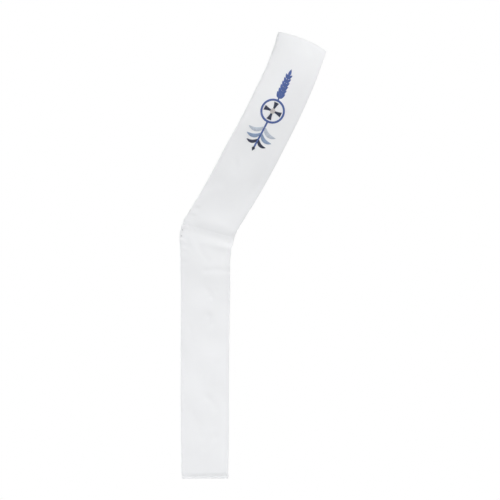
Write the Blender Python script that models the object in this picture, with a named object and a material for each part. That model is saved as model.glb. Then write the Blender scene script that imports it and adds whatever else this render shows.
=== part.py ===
"""A deacon's stole in its worn form: over the left shoulder, across the body and down from the right hip.

Metres, +Z up. The front faces -Y and the wearer's left is +X. The origin is the underside of the cloth at the
middle of the shoulder's crest, where the stole is carried. The band is one strip, followed by its length in
millimetres from the crest: more than 0 down the front, less than 0 down the back. Each section of it is a line
from its left edge, on the wearer's right, to its right edge, bowed outwards by a crown.
"""

import bpy
import numpy as np

# Driving sizes in millimetres
MM = 0.001
CLOTH_THICKNESS = 2.2
SEAM_GAP = 0.3
BAND_WIDTH = 140.0

# Both long edges are pressed folds: the cloth rolls inwards and thins over this width
EDGE_ROLL_WIDTH = 9.0
EDGE_ROLL_DROP = 1.6
EDGE_THIN_WIDTH = 3.0
EDGE_THINNEST = 0.6

# The turned hem is thicker than the band, with a stitched groove above it and round corners
HEM_HEIGHT = 9.0
HEM_EXTRA_THICKNESS = 0.7
HEM_STEP_WIDTH = 1.0
HEM_GROOVE_DEPTH = 0.5
HEM_GROOVE_WIDTH = 3.0
CORNER_HEIGHT = 5.0
CORNER_INSET = 2.0

# The cloth sinks towards each seam
SEAM_SINK = 0.7
SEAM_SINK_WIDTH = 5.0

# The back band hangs this much nearer the wearer's right, so that the front band covers it
BACK_SHIFT = -2.0

# Sections from the crest to the hem, in millimetres. X and Z are the edges as seen from the front. The depths
# are each edge's Y on a general figure: the front band's, less than 0, and the back band's.
SECTION_COLUMNS = (
    "name", "left_x", "left_z", "right_x", "right_z",
    "front_left_y", "front_right_y", "back_left_y", "back_right_y", "crown",
)
SECTIONS = (
    ("shoulder crest", -62.5, 27.0, 62.5, -27.0, 0, 0, 0, 0, 6.0),
    ("crest turn", -64.5, 19.0, 60.5, -34.5, -27, -28, 26, 27, 6.5),
    ("below the crest", -68.5, 3.5, 55.5, -49.0, -50, -52, 48, 50, 7.0),
    ("collar bone", -78.5, -25.0, 46.0, -74.5, -69, -74, 66, 71, 7.0),
    ("upper chest", -94.5, -65.5, 30.5, -116.0, -88, -92, 84, 87, 7.0),
    ("arm hollow", -119.5, -119.0, 4.5, -176.5, -106, -106, 99, 98, 6.5),
    ("chest", -165.5, -211.5, -42.5, -273.0, -125, -118, 108, 105, 6.0),
    ("lower chest", -195.5, -265.0, -72.5, -331.0, -122, -123, 108, 108, 6.0),
    ("waist", -234.5, -338.5, -112.5, -403.0, -110, -124, 101, 111, 6.0),
    ("above the hip", -268.0, -398.5, -148.5, -462.0, -93, -122, 88, 114, 5.5),
    ("hip turn", -296.0, -444.5, -168.0, -493.5, -80, -120, 78, 116, 5.0),
    ("hip crease", -318.5, -482.5, -180.5, -520.0, -72, -118, 71, 116, 4.5),
    ("below the crease", -325.0, -509.0, -186.0, -540.5, -70, -118, 70, 116, 4.5),
    ("hang top", -323.0, -558.0, -189.5, -568.5, -70, -118, 70, 116, 4.0),
    ("hang upper", -322.0, -658.0, -191.5, -657.5, -70, -118, 70, 116, 4.0),
    ("hang middle", -322.5, -790.0, -194.0, -789.0, -68, -119, 68, 117, 3.5),
    ("hang lower", -322.5, -948.0, -195.0, -946.5, -66, -121, 66, 119, 3.0),
    ("above the hem", -321.5, -1080.0, -196.0, -1077.5, -64, -123, 64, 121, 3.0),
    ("hem", -320.0, -1155.5, -197.5, -1152.5, -63, -123, 63, 121, 3.0),
)
HIP_SECTION = 11

# Folds as soft troughs (depth under 0) or ridges. Each runs from one place to another: along is the distance
# past the hip crease, and across is the distance from the band's middle, towards its right edge.
FOLD_COLUMNS = ("name", "along_1", "across_1", "along_2", "across_2", "half_width", "depth")
FRONT_FOLDS = (
    ("crease trough", -3, -70, -3, 72, 7, -1.6),
    ("crease ridge", 14, -30, 12, 66, 9, 1.3),
    ("hip pinch", -1, -70, 1, -48, 6, -1.5),
    ("pinch below", 22, -70, 15, -52, 6, -1.0),
    ("drag to the hip", -26, -66, -110, -34, 14, 1.4),
    ("hip wrinkle", 96, 4, 94, 62, 8, -1.3),
    ("wrinkle ridge", 110, 0, 109, 60, 9, 1.0),
    ("hanging dimple", 232, 14, 246, 18, 16, -1.6),
    ("chest drag", -400, 22, -250, 40, 20, -1.4),
)
BACK_FOLDS = (
    ("crease trough", -3, -70, -3, 72, 7, -1.6),
    ("crease ridge", 13, -44, 14, 58, 9, 1.2),
    ("hip pinch", 0, -70, 2, -50, 6, -1.3),
    ("drag to the hip", -24, -62, -124, -20, 15, 1.5),
    ("hip wrinkle", 88, -8, 92, 58, 8, -1.2),
    ("hanging dimple", 250, -12, 268, -6, 17, -1.5),
    ("shoulder drag", -430, 12, -270, 34, 20, -1.4),
)

# Places of the mesh's columns, from the band's middle to its edge, as shares of half its width
COLUMN_SHARES = (0.0, 0.28, 0.56, 0.78, 0.9, 0.965, 1.0)

# Spacing of the mesh's rows, and distances of the rows that lie close together at the hip crease and the hem
CREST_ROWS_END = 64.0
CREST_ROW_STEP = 8.0
UPPER_ROW_STEP = 22.0
LOWER_ROW_STEP = 27.0
ROWS_ABOVE_CREASE = (20.0, 12.0, 6.0, 2.0, SEAM_GAP / 2)
ROWS_BELOW_CREASE = (SEAM_GAP / 2, 2.5, 8.0, 14.0, 20.0, 28.0)
ROWS_ABOVE_HEM = (13.0, 10.5, 9.5, 8.5, 4.5, 2.0, 0.6, 0.0)

# A slope is read between two places this far to each side, and an edge turned more than the angle stays sharp
SLOPE_REACH = 0.5
SHARP_ANGLE = 0.9

# The tape that links the bands at the hip. Its ends lie on the insides of the lower panels, at these places
# across them. It turns at the last place, near the panel's left edge, and bows round the hip.
LINK_THICKNESS = 1.6
LINK_WIDTH = 16.0
LINK_DROP = 22.0
LINK_SEAT_GAP = 0.5
LINK_ACROSS = (-26.0, -34.0, -42.0, -50.0, -62.0)
LINK_CORNER_STEPS = 6
LINK_SIDE_STEPS = 6
LINK_BOW = 2.0

CLOTH_COLOUR = (0.86, 0.87, 0.89, 1.0)
CLOTH_ROUGHNESS = 0.6
TAPE_COLOUR = (0.82, 0.83, 0.85, 1.0)
TAPE_ROUGHNESS = 0.7


def clear_scene():
    for obj in list(bpy.data.objects):
        bpy.data.objects.remove(obj, do_unlink=True)


def material(name, colour, roughness):
    made = bpy.data.materials.new(name)
    made.use_nodes = True
    shader = made.node_tree.nodes["Principled BSDF"]
    shader.inputs["Base Color"].default_value = colour
    shader.inputs["Roughness"].default_value = roughness
    shader.inputs["Metallic"].default_value = 0.0
    made.diffuse_color = colour
    return made


def column(name):
    """One named column of the sections' table, crest first."""
    index = SECTION_COLUMNS.index(name)
    return np.array([row[index] for row in SECTIONS], float)


def section_ends(side):
    """Left and right ends of every section of one side, crest first, as arrays of points."""
    shift = BACK_SHIFT if side == "back" else 0.0
    moved = shift * np.minimum(1.0, np.arange(len(SECTIONS)))
    ends = []
    for edge in ("left", "right"):
        x = column(edge + "_x") + moved
        ends.append(np.stack([x, column(side + "_" + edge + "_y"), column(edge + "_z")], axis=1))
    return ends


def strip_rows():
    """The strip's sections from the back hem to the front hem: place along, left end, right end, crown."""
    front_left, front_right = section_ends("front")
    back_left, back_right = section_ends("back")
    left = np.concatenate([back_left[:0:-1], front_left])
    right = np.concatenate([back_right[:0:-1], front_right])
    crown = np.concatenate([column("crown")[:0:-1], column("crown")])
    steps = np.linalg.norm(np.diff((left + right) / 2, axis=0), axis=1)
    along = np.concatenate([[0.0], np.cumsum(steps)])
    return along - along[len(SECTIONS) - 1], left, right, crown


ALONG, LEFT, RIGHT, CROWN = strip_rows()
CREST_ROW = len(SECTIONS) - 1
HIP_ALONG = {"front": ALONG[CREST_ROW + HIP_SECTION], "back": ALONG[CREST_ROW - HIP_SECTION]}
HEM_ALONG = {"front": ALONG[-1], "back": ALONG[0]}


def smooth(values, places):
    """A cubic through the sections' values. Its slope at a section leans on the nearer neighbour's chord."""
    values = values.reshape(len(ALONG), -1)
    steps = np.diff(ALONG)[:, None]
    chords = np.diff(values, axis=0) / steps
    slopes = np.empty_like(values)
    slopes[1:-1] = (chords[1:] * steps[:-1] + chords[:-1] * steps[1:]) / (steps[:-1] + steps[1:])
    slopes[0] = chords[0]
    slopes[-1] = chords[-1]
    first = np.clip(np.searchsorted(ALONG, places, side="right") - 1, 0, len(ALONG) - 2)
    step = steps[first]
    t = ((places - ALONG[first])[:, None]) / step
    start = (1 + 2 * t) * (1 - t) ** 2 * values[first] + t * (1 - t) ** 2 * step * slopes[first]
    end = t**2 * (3 - 2 * t) * values[first + 1] + t**2 * (t - 1) * step * slopes[first + 1]
    return start + end


def unit(vectors):
    return vectors / np.linalg.norm(vectors, axis=-1, keepdims=True)


def fold_height(past_crease, across, folds):
    """Sum of the folds: each is a bell across its line, and fades over its half width past its two ends."""
    height = np.zeros(np.broadcast(past_crease, across).shape)
    for row in folds:
        fold = dict(zip(FOLD_COLUMNS, row))
        run_along = fold["along_2"] - fold["along_1"]
        run_across = fold["across_2"] - fold["across_1"]
        from_start = (past_crease - fold["along_1"]) * run_along + (across - fold["across_1"]) * run_across
        nearest = np.clip(from_start / (run_along**2 + run_across**2), 0.0, 1.0)
        off_along = past_crease - fold["along_1"] - nearest * run_along
        off_across = across - fold["across_1"] - nearest * run_across
        height += fold["depth"] * np.exp(-(off_along**2 + off_across**2) / fold["half_width"] ** 2)
    return height


def fall(distance, width):
    """1 at distance 0, easing to 0 at the width."""
    return np.clip(1.0 - distance / width, 0.0, 1.0) ** 2


def relief(along, across):
    """How far the cloth's middle stands out from the plain bowed band."""
    edge = BAND_WIDTH / 2 - np.abs(across)
    height = -EDGE_ROLL_DROP * fall(edge, EDGE_ROLL_WIDTH)
    past_front = along - HIP_ALONG["front"]
    past_back = HIP_ALONG["back"] - along
    height = height + np.where(
        along > 0,
        fold_height(past_front, across, FRONT_FOLDS),
        fold_height(past_back, across, BACK_FOLDS),
    )
    height -= SEAM_SINK * fall(np.abs(along), SEAM_SINK_WIDTH)
    return height


def wall_thickness(along, across):
    """The cloth's thickness: less at the pressed edges, more in the hem, and less in the groove above it."""
    to_hem = np.minimum(HEM_ALONG["front"] - along, along - HEM_ALONG["back"])
    hem = np.clip((HEM_HEIGHT - to_hem) / HEM_STEP_WIDTH + 0.5, 0.0, 1.0)
    groove = fall(np.abs(to_hem - HEM_HEIGHT - HEM_STEP_WIDTH), HEM_GROOVE_WIDTH)
    thickness = CLOTH_THICKNESS + HEM_EXTRA_THICKNESS * hem - HEM_GROOVE_DEPTH * groove * (1 - hem)
    thickness *= 1.0 - (1.0 - EDGE_THINNEST) * fall(to_hem, EDGE_THIN_WIDTH)
    edge = BAND_WIDTH / 2 - np.abs(across)
    return thickness * (1.0 - (1.0 - EDGE_THINNEST) * fall(edge, EDGE_THIN_WIDTH))


def corner_share(along):
    """Share of the width left at the hem's round corners, each a quarter of an ellipse."""
    to_hem = np.minimum(HEM_ALONG["front"] - along, along - HEM_ALONG["back"])
    reach = np.clip(1.0 - to_hem / CORNER_HEIGHT, 0.0, 1.0)
    inset = CORNER_INSET * (1.0 - np.sqrt(1.0 - reach**2))
    return 1.0 - inset / (BAND_WIDTH / 2)


def band_middle(along, shares):
    """Points and outward directions of the cloth's middle on a grid of places along and shares across."""
    left = smooth(LEFT, along)
    right = smooth(RIGHT, along)
    crown = smooth(CROWN, along)
    centre = (LEFT + RIGHT) / 2
    ahead = smooth(centre, along + SLOPE_REACH) - smooth(centre, along - SLOPE_REACH)
    outward = unit(np.cross(ahead, right - left))
    share = shares[None, :] * corner_share(along)[:, None]
    across = shares[None, :] * BAND_WIDTH / 2
    chord = left[:, None] + (right - left)[:, None] * (1 + share[..., None]) / 2
    height = crown * (1 - share**2) + relief(along[:, None], across)
    points = chord + outward[:, None] * height[..., None]
    normals = unit(np.cross(np.gradient(points, axis=0), np.gradient(points, axis=1)))
    facing = np.sign((normals * outward[:, None]).sum(axis=-1, keepdims=True))
    return points, normals * facing


def crest_underside():
    """The underside at the middle of the crest, which the whole strip is moved from to the origin."""
    around = np.array([-1.0, 0.0, 1.0])
    points, outward = band_middle(2 * SLOPE_REACH * around, 2 * SLOPE_REACH * around / (BAND_WIDTH / 2))
    return points[1, 1] - outward[1, 1] * wall_thickness(0.0, 0.0) / 2


ORIGIN_SHIFT = crest_underside()


def wall_faces(rows, columns):
    """Faces of a closed wall: outer points row by row, then inner points, with outward faces all round."""
    index = np.arange(rows * columns).reshape(rows, columns)
    inner = index + rows * columns
    outer_quads = np.stack([index[:-1, :-1], index[1:, :-1], index[1:, 1:], index[:-1, 1:]], axis=-1)
    inner_quads = np.stack([inner[:-1, :-1], inner[:-1, 1:], inner[1:, 1:], inner[1:, :-1]], axis=-1)
    first = np.stack([index[0, :-1], index[0, 1:], inner[0, 1:], inner[0, :-1]], axis=-1)
    last = np.stack([index[-1, 1:], index[-1, :-1], inner[-1, :-1], inner[-1, 1:]], axis=-1)
    left = np.stack([index[1:, 0], index[:-1, 0], inner[:-1, 0], inner[1:, 0]], axis=-1)
    right = np.stack([index[:-1, -1], index[1:, -1], inner[1:, -1], inner[:-1, -1]], axis=-1)
    quads = [part.reshape(-1, 4) for part in (outer_quads, inner_quads, first, last, left, right)]
    return np.concatenate(quads)


def add_wall(name, outer, inner, finish):
    """One object for a closed wall between two grids of points in millimetres."""
    rows, columns = outer.shape[:2]
    points = np.concatenate([outer.reshape(-1, 3), inner.reshape(-1, 3)]) - ORIGIN_SHIFT
    mesh = bpy.data.meshes.new(name)
    mesh.from_pydata((points * MM).tolist(), [], wall_faces(rows, columns).tolist())
    mesh.shade_smooth()
    mesh.set_sharp_from_angle(angle=SHARP_ANGLE)
    mesh.materials.append(finish)
    obj = bpy.data.objects.new(name, mesh)
    bpy.context.collection.objects.link(obj)
    return obj


def evenly(start, end, step):
    return np.linspace(start, end, max(2, int(round((end - start) / step)) + 1))


def upper_distances():
    """Distances from the crest of an upper panel's rows, closest over the shoulder and at the crease."""
    crease = abs(HIP_ALONG["front"]) - np.array(ROWS_ABOVE_CREASE)
    over = evenly(SEAM_GAP / 2, CREST_ROWS_END, CREST_ROW_STEP)
    down = evenly(CREST_ROWS_END, crease[0] - UPPER_ROW_STEP / 2, UPPER_ROW_STEP)[1:]
    return np.concatenate([over, down, crease])


def lower_distances():
    """Distances from the crest of a lower panel's rows, close together at the crease and the hem."""
    crease = abs(HIP_ALONG["front"]) + np.array(ROWS_BELOW_CREASE)
    turned = abs(HEM_ALONG["front"]) - np.array(ROWS_ABOVE_HEM)
    down = evenly(crease[-1] + LOWER_ROW_STEP / 2, turned[0] - LOWER_ROW_STEP / 2, LOWER_ROW_STEP)
    return np.concatenate([crease, down, turned])


def side_places(distances, side):
    """The same distances as places along the strip, in the strip's own order and to the side's own lengths."""
    if side == "front":
        return distances
    hip = abs(HIP_ALONG["front"])
    hem = abs(HEM_ALONG["front"])
    back_hip = abs(HIP_ALONG["back"])
    back_hem = abs(HEM_ALONG["back"])
    above = distances * back_hip / hip
    below = back_hip + (distances - hip) * (back_hem - back_hip) / (hem - hip)
    return -np.where(distances < hip, above, below)[::-1]


def add_panel(name, distances, side, finish):
    """One panel of the band as a wall of cloth, half its thickness to each side of its middle."""
    shares = np.array([-share for share in COLUMN_SHARES[:0:-1]] + list(COLUMN_SHARES))
    along = side_places(distances, side)
    points, outward = band_middle(along, shares)
    half = wall_thickness(along[:, None], shares[None, :] * BAND_WIDTH / 2) / 2
    outer = points + outward * half[..., None]
    inner = points - outward * half[..., None]
    return add_wall(name, outer, inner, finish)


def inside_rows(side, across):
    """Rows of the tape's middle on a lower panel's inside, one for each place across, from top to bottom."""
    drops = abs(HIP_ALONG[side]) + LINK_DROP + np.array([-0.5, 0.0, 0.5]) * LINK_WIDTH
    along = drops if side == "front" else -drops
    points, outward = band_middle(along, np.array(across) / (BAND_WIDTH / 2))
    half = wall_thickness(along[:, None], np.array(across)[None, :]) / 2
    inwards = half + LINK_SEAT_GAP + LINK_THICKNESS / 2
    return (points - outward * inwards[..., None]).transpose(1, 0, 2)


def round_corner(start, corner, after, steps):
    """Rows on a parabola that leaves the start towards the corner, and ends as far past the corner."""
    reach = np.linalg.norm(corner - start, axis=-1, keepdims=True)
    end = corner + unit(after - corner) * reach
    t = np.linspace(0, 1, steps + 1)[:, None, None]
    return (1 - t) ** 2 * start + 2 * t * (1 - t) * corner + t**2 * end


def link_rows():
    """The tape's middle: along the front panel's inside, round the hip and along the back panel's inside."""
    holds = [inside_rows(side, LINK_ACROSS) for side in ("front", "back")]
    corners = [hold[-1] for hold in holds]
    turns = [
        round_corner(holds[0][-2], corners[0], corners[1], LINK_CORNER_STEPS),
        round_corner(holds[1][-2], corners[1], corners[0], LINK_CORNER_STEPS),
    ]
    t = np.linspace(0, 1, LINK_SIDE_STEPS + 1)[:, None, None]
    side = turns[0][-1] * (1 - t) + turns[1][-1] * t
    side[..., 0] -= LINK_BOW * np.sin(np.pi * t[..., 0])
    return np.concatenate([holds[0][:-2], turns[0], side[1:-1], turns[1][::-1], holds[1][-3::-1]])


def add_side_link(finish):
    """The tape as a wall, half its thickness to each side of its middle."""
    middle = link_rows()
    aside = unit(np.cross(np.gradient(middle, axis=0), np.gradient(middle, axis=1)))
    return add_wall(
        "side_link",
        middle + aside * LINK_THICKNESS / 2,
        middle - aside * LINK_THICKNESS / 2,
        finish,
    )


def main():
    clear_scene()
    for side in ("front", "back"):
        finish = material(side + "_upper_cloth", CLOTH_COLOUR, CLOTH_ROUGHNESS)
        add_panel(side + "_upper", upper_distances(), side, finish)
        finish = material(side + "_lower_cloth", CLOTH_COLOUR, CLOTH_ROUGHNESS)
        add_panel(side + "_lower", lower_distances(), side, finish)
    add_side_link(material("link_tape", TAPE_COLOUR, TAPE_ROUGHNESS))


main()
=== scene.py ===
"""The looks of a deacon's stole in its worn form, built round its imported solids.

Laid out as an add-on and run as a script. The band is one strip. A place on it is given in millimetres:
along, the distance from the shoulder's crest (more than 0 down the front, less than 0 down the back), and
across, the distance from the band's middle towards its right edge as seen from the front. Heights stand
out from the cloth.
"""

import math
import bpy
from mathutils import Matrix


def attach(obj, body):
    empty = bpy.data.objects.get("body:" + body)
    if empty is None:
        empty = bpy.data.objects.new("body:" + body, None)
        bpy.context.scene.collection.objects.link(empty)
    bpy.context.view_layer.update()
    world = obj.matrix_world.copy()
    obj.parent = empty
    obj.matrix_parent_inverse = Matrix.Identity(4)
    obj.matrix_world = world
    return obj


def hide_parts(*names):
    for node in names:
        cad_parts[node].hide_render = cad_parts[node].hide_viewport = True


bl_info = {
    "name": "Deacon's Stole",
    "version": (1, 0, 0),
    "blender": (4, 5, 0),
    "location": "View3D > Sidebar > Stole",
    "description": "Builds the cloth, sewing, embroidery and studio of a deacon's stole",
    "category": "Object",
}

import bpy
import numpy as np
from mathutils import Vector

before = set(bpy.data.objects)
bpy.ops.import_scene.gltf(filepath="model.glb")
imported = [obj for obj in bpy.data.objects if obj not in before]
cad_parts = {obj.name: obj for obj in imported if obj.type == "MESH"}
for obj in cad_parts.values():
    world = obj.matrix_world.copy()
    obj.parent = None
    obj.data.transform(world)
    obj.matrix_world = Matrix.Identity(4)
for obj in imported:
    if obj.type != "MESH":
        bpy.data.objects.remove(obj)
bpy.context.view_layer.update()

BODY = "root"
MM = 0.001

# Driving sizes in millimetres, the same as the solids have
CLOTH_THICKNESS = 2.2
BAND_WIDTH = 140.0
EDGE_ROLL_WIDTH = 9.0
EDGE_ROLL_DROP = 1.6
HEM_EXTRA_THICKNESS = 0.7
HEM_GROOVE_DEPTH = 0.5
HEM_GROOVE_WIDTH = 3.0
CORNER_HEIGHT = 5.0
CORNER_INSET = 2.0
SEAM_SINK = 0.7
SEAM_SINK_WIDTH = 5.0
BACK_SHIFT = -2.0
HALF_WIDTH = BAND_WIDTH / 2

# The sign of a side's places along the strip
SIGN = {"front": 1, "back": -1}

# Every free edge and seam of the cloth is a rounded fold of this radius
FOLD_RADIUS = 1.1
THINNEST_SHARE = 0.12
SEAM_SHARE = 0.88
SEAM_OVERLAP = 0.05

# Under both long edges lies a turning, which makes a soft step in the cloth
TURNING_WIDTH = 8.5
TURNING_STEP = 0.35
TURNING_SOFTNESS = 1.6

# Sections from the crest to the hem, in millimetres: X and Z of each edge as seen from the front, the
# edges' depths, Y, on a general figure for the front band and for the back band, and the height of the
# band's crown.
SECTION_COLUMNS = (
    "name", "left_x", "left_z", "right_x", "right_z",
    "front_left_y", "front_right_y", "back_left_y", "back_right_y", "crown",
)
SECTIONS = (
    ("shoulder crest", -62.5, 27.0, 62.5, -27.0, 0, 0, 0, 0, 6.0),
    ("crest turn", -64.5, 19.0, 60.5, -34.5, -27, -28, 26, 27, 6.5),
    ("below the crest", -68.5, 3.5, 55.5, -49.0, -50, -52, 48, 50, 7.0),
    ("collar bone", -78.5, -25.0, 46.0, -74.5, -69, -74, 66, 71, 7.0),
    ("upper chest", -94.5, -65.5, 30.5, -116.0, -88, -92, 84, 87, 7.0),
    ("arm hollow", -119.5, -119.0, 4.5, -176.5, -106, -106, 99, 98, 6.5),
    ("chest", -165.5, -211.5, -42.5, -273.0, -125, -118, 108, 105, 6.0),
    ("lower chest", -195.5, -265.0, -72.5, -331.0, -122, -123, 108, 108, 6.0),
    ("waist", -234.5, -338.5, -112.5, -403.0, -110, -124, 101, 111, 6.0),
    ("above the hip", -268.0, -398.5, -148.5, -462.0, -93, -122, 88, 114, 5.5),
    ("hip turn", -296.0, -444.5, -168.0, -493.5, -80, -120, 78, 116, 5.0),
    ("hip crease", -318.5, -482.5, -180.5, -520.0, -72, -118, 71, 116, 4.5),
    ("below the crease", -325.0, -509.0, -186.0, -540.5, -70, -118, 70, 116, 4.5),
    ("hang top", -323.0, -558.0, -189.5, -568.5, -70, -118, 70, 116, 4.0),
    ("hang upper", -322.0, -658.0, -191.5, -657.5, -70, -118, 70, 116, 4.0),
    ("hang middle", -322.5, -790.0, -194.0, -789.0, -68, -119, 68, 117, 3.5),
    ("hang lower", -322.5, -948.0, -195.0, -946.5, -66, -121, 66, 119, 3.0),
    ("above the hem", -321.5, -1080.0, -196.0, -1077.5, -64, -123, 64, 121, 3.0),
    ("hem", -320.0, -1155.5, -197.5, -1152.5, -63, -123, 63, 121, 3.0),
)

# The section that lies on the hip's crease, where the panels meet
HIP_SECTION = 11

# Creases as soft troughs (depth under 0) or ridges: name, place past the hip seam and across of its first
# end and of its last end, bend, half width, depth and twin. Bend is how far the middle of the crease
# swings aside. Twin is the share of its depth that stands up beside it.
FRONT_CREASES = (
    ("crease trough", 7, -30, 16, 76, 1.5, 14, -3.1, 0.0),
    ("crease ridge", 33, -34, 37, 72, 2.0, 11, 0.8, 0.0),
    ("fullness below the crease", 88, -44, 86, 70, 0.0, 42, 3.5, 0.0),
    ("bulge above the crease", -22, -20, -18, 66, 2.0, 14, 1.2, 0.0),
    ("hip pinch", -1, -72, 1, -50, 0.0, 5, -1.7, 0.3),
    ("pinch below", 15, -72, 12, -54, 0.0, 5, -1.3, 0.3),
    ("second pinch below", 29, -72, 31, -50, 0.0, 5, -1.2, 0.3),
    ("edge ripple one", -42, -72, -45, -52, 0.0, 4, -1.0, 0.4),
    ("edge ripple two", -24, -72, -24, -50, 0.0, 4, -0.9, 0.4),
    ("edge ripple three", 45, -72, 48, -52, 0.0, 4.5, -1.1, 0.4),
    ("edge ripple four", 63, -72, 62, -50, 0.0, 4.5, -0.9, 0.4),
    ("edge ripple five", 82, -72, 85, -55, 0.0, 5, -0.8, 0.4),
    ("slack below the pinches", 34, -46, 60, -30, 3.0, 12, 0.9, 0.0),
    ("drag to the hip", -26, -66, -110, -34, 6.0, 14, 1.4, 0.0),
    ("hip wrinkle", 107, 4, 105, 64, 2.0, 8, -1.15, 0.0),
    ("wrinkle ridge", 126, 8, 125, 58, -1.5, 13, 0.5, 0.0),
    ("hanging dimple", 232, 14, 246, 18, 0.0, 14, -1.9, 0.1),
    ("chest drag", -400, 22, -250, 40, 8.0, 20, -1.4, 0.2),
    ("short drag one", 30, -58, 60, -34, 3.0, 6, -0.6, 0.5),
    ("short drag two", 34, -20, 78, 8, -4.0, 9, -0.45, 0.3),
    ("upper dimple left", 158, 8, 174, 18, 2.0, 8, -0.8, 0.2),
    ("upper dimple right", 160, 30, 175, 19, -2.0, 8, -0.7, 0.2),
    ("lower dimple", 222, 10, 240, 20, 3.0, 9, -0.7, 0.2),
    ("waist smudge", -196, -30, -172, -16, 2.0, 8, -0.7, 0.3),
    ("right smudge", -250, 46, -214, 56, 2.0, 8, -0.8, 0.3),
    ("long slack", -330, -20, -120, 14, 10.0, 16, -0.7, 0.5),
    ("shoulder slack", -560, -24, -470, -40, 5.0, 12, -0.6, 0.4),
    ("shoulder slack right", -575, 30, -490, 44, -4.0, 12, -0.6, 0.4),
    ("crest pucker one", -603, 36, -586, 40, 1.0, 4, -0.5, 0.4),
    ("crest pucker two", -604, -8, -584, -14, -1.0, 5, -0.45, 0.4),
    ("crest pucker three", -603, 54, -588, 60, 1.0, 3.5, -0.5, 0.4),
    ("hang slack one", 300, -30, 420, -18, 5.0, 14, -0.5, 0.5),
    ("hang slack two", 350, 34, 440, 12, -6.0, 13, -0.9, 0.5),
    ("hang slack three", 480, -40, 540, -14, 4.0, 15, -1.0, 0.5),
    ("low mottle one", 440, 6, 470, 34, 3.0, 11, -0.9, 0.4),
    ("low mottle two", 545, 30, 572, 4, -3.0, 11, -0.9, 0.4),
    ("low mottle three", 250, -44, 290, -38, 2.0, 8, -0.4, 0.4),
)
BACK_CREASES = (
    ("crease trough", 8, -40, 11, 74, 1.0, 12, -2.6, 0.0),
    ("crease ridge", 34, -44, 35, 66, 2.0, 11, 0.8, 0.0),
    ("fullness below the crease", 90, -50, 84, 66, 0.0, 42, 3.0, 0.0),
    ("hip pinch", 0, -72, 2, -50, 0.0, 6, -1.5, 0.3),
    ("edge ripple one", -30, -72, -32, -52, 0.0, 4, -0.9, 0.4),
    ("edge ripple two", 24, -72, 26, -52, 0.0, 4.5, -1.0, 0.4),
    ("edge ripple three", 50, -72, 52, -54, 0.0, 5, -0.8, 0.4),
    ("drag to the hip", -24, -62, -124, -20, 7.0, 15, 1.5, 0.0),
    ("hip wrinkle", 98, -8, 102, 58, 3.0, 8, -1.3, 0.3),
    ("hanging dimple", 250, -12, 268, -6, 0.0, 17, -1.5, 0.0),
    ("shoulder drag", -430, 12, -270, 34, 9.0, 20, -1.4, 0.2),
    ("short drag one", 26, -50, 62, -20, 4.0, 6, -0.6, 0.5),
    ("short drag two", 40, 6, 70, 34, -3.0, 6, -0.6, 0.5),
    ("seat slack", 130, 10, 190, 30, 5.0, 9, -0.7, 0.4),
    ("loin slack", -180, -26, -90, 4, 8.0, 14, -0.8, 0.5),
    ("blade slack", -520, -36, -400, -10, 7.0, 15, -0.7, 0.5),
    ("blade slack right", -545, 26, -470, 40, -5.0, 12, -0.6, 0.4),
    ("crest pucker one", -596, 22, -580, 26, 1.0, 5, -0.5, 0.4),
    ("crest pucker two", -597, -30, -578, -34, -1.0, 5, -0.5, 0.4),
    ("hang slack one", 310, 20, 430, 34, 6.0, 14, -0.5, 0.5),
    ("hang slack two", 380, -36, 520, -24, -5.0, 14, -0.5, 0.5),
    ("low mottle one", 540, -6, 590, 10, 3.0, 9, -0.4, 0.4),
)

# How far a twin lies beside its crease, in half widths
TWIN_ASIDE = 1.7

# Small dimples where a tack pulls the cloth in: past the hip seam, across, radius, depth
TACKS = ((0.5, -65.0, 4.2, 2.6), (15.0, -64.0, 3.2, 1.8), (28.5, -64.5, 3.4, 1.9))

# The tape that links the bands at the hip. It lies flat inside each band at the first four places across,
# and the corner of its turn is at the fifth.
LINK_THICKNESS = 1.6
LINK_WIDTH = 16.0
LINK_DROP = 22.0
LINK_SEAT_GAP = 0.5
LINK_ACROSS = (-26.0, -34.0, -42.0, -50.0, -62.0)
LINK_BOW = 2.0

# The tape is thinner at its woven edges and at its cut ends, and its edges ripple a little
LINK_EDGE_SHARE = 0.45
LINK_EDGE_WIDTH = 1.6
LINK_END_SHARE = 0.4
LINK_RIPPLE = 0.12
LINK_RIPPLE_LENGTH = 2.3
LINK_RIPPLE_REACH = 3.0

# The hem's own thickness begins this far below its stitched line.
HEM_STEP_BELOW = 0.5

# The cloth slopes in to the stitched line above the hem, and part of the way out again below it. The
# hem's own fold rolls back, and so do the sides: less on the right, and not at the crest, which holds
# them flat. The hip seam sinks in a soft hollow.
HEM_LINE = 6.8
HEM_PULL = 2.7
HEM_PULL_WIDTH = 9.0
HEM_RETURN = 0.8
HEM_RETURN_WIDTH = 3.6
LEFT_ROLL = 1.2
RIGHT_ROLL = 0.1
RIGHT_EDGE_SHARE = 0.4
CREST_HOLD = 90.0
SIDE_ROLL_WIDTH = 24.0
HEM_ROLL = 0.5
HEM_ROLL_WIDTH = 3.0
HIP_SINK = 0.35
HIP_SINK_WIDTH = 9.0

# The slow unevenness fades out this near to the edges. Each sewn line has its own phase of ripples, which
# reach this far from it.
SWELL_CALM = 20.0
LEFT_PHASE = 0.7
RIGHT_PHASE = 2.9
BACK_PHASE = 1.3
HIP_PHASE = 0.9
CREST_PHASE = 2.2
SIDE_REACH = 15.0
HIP_REACH = 14.0
CREST_REACH = 12.0

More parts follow.
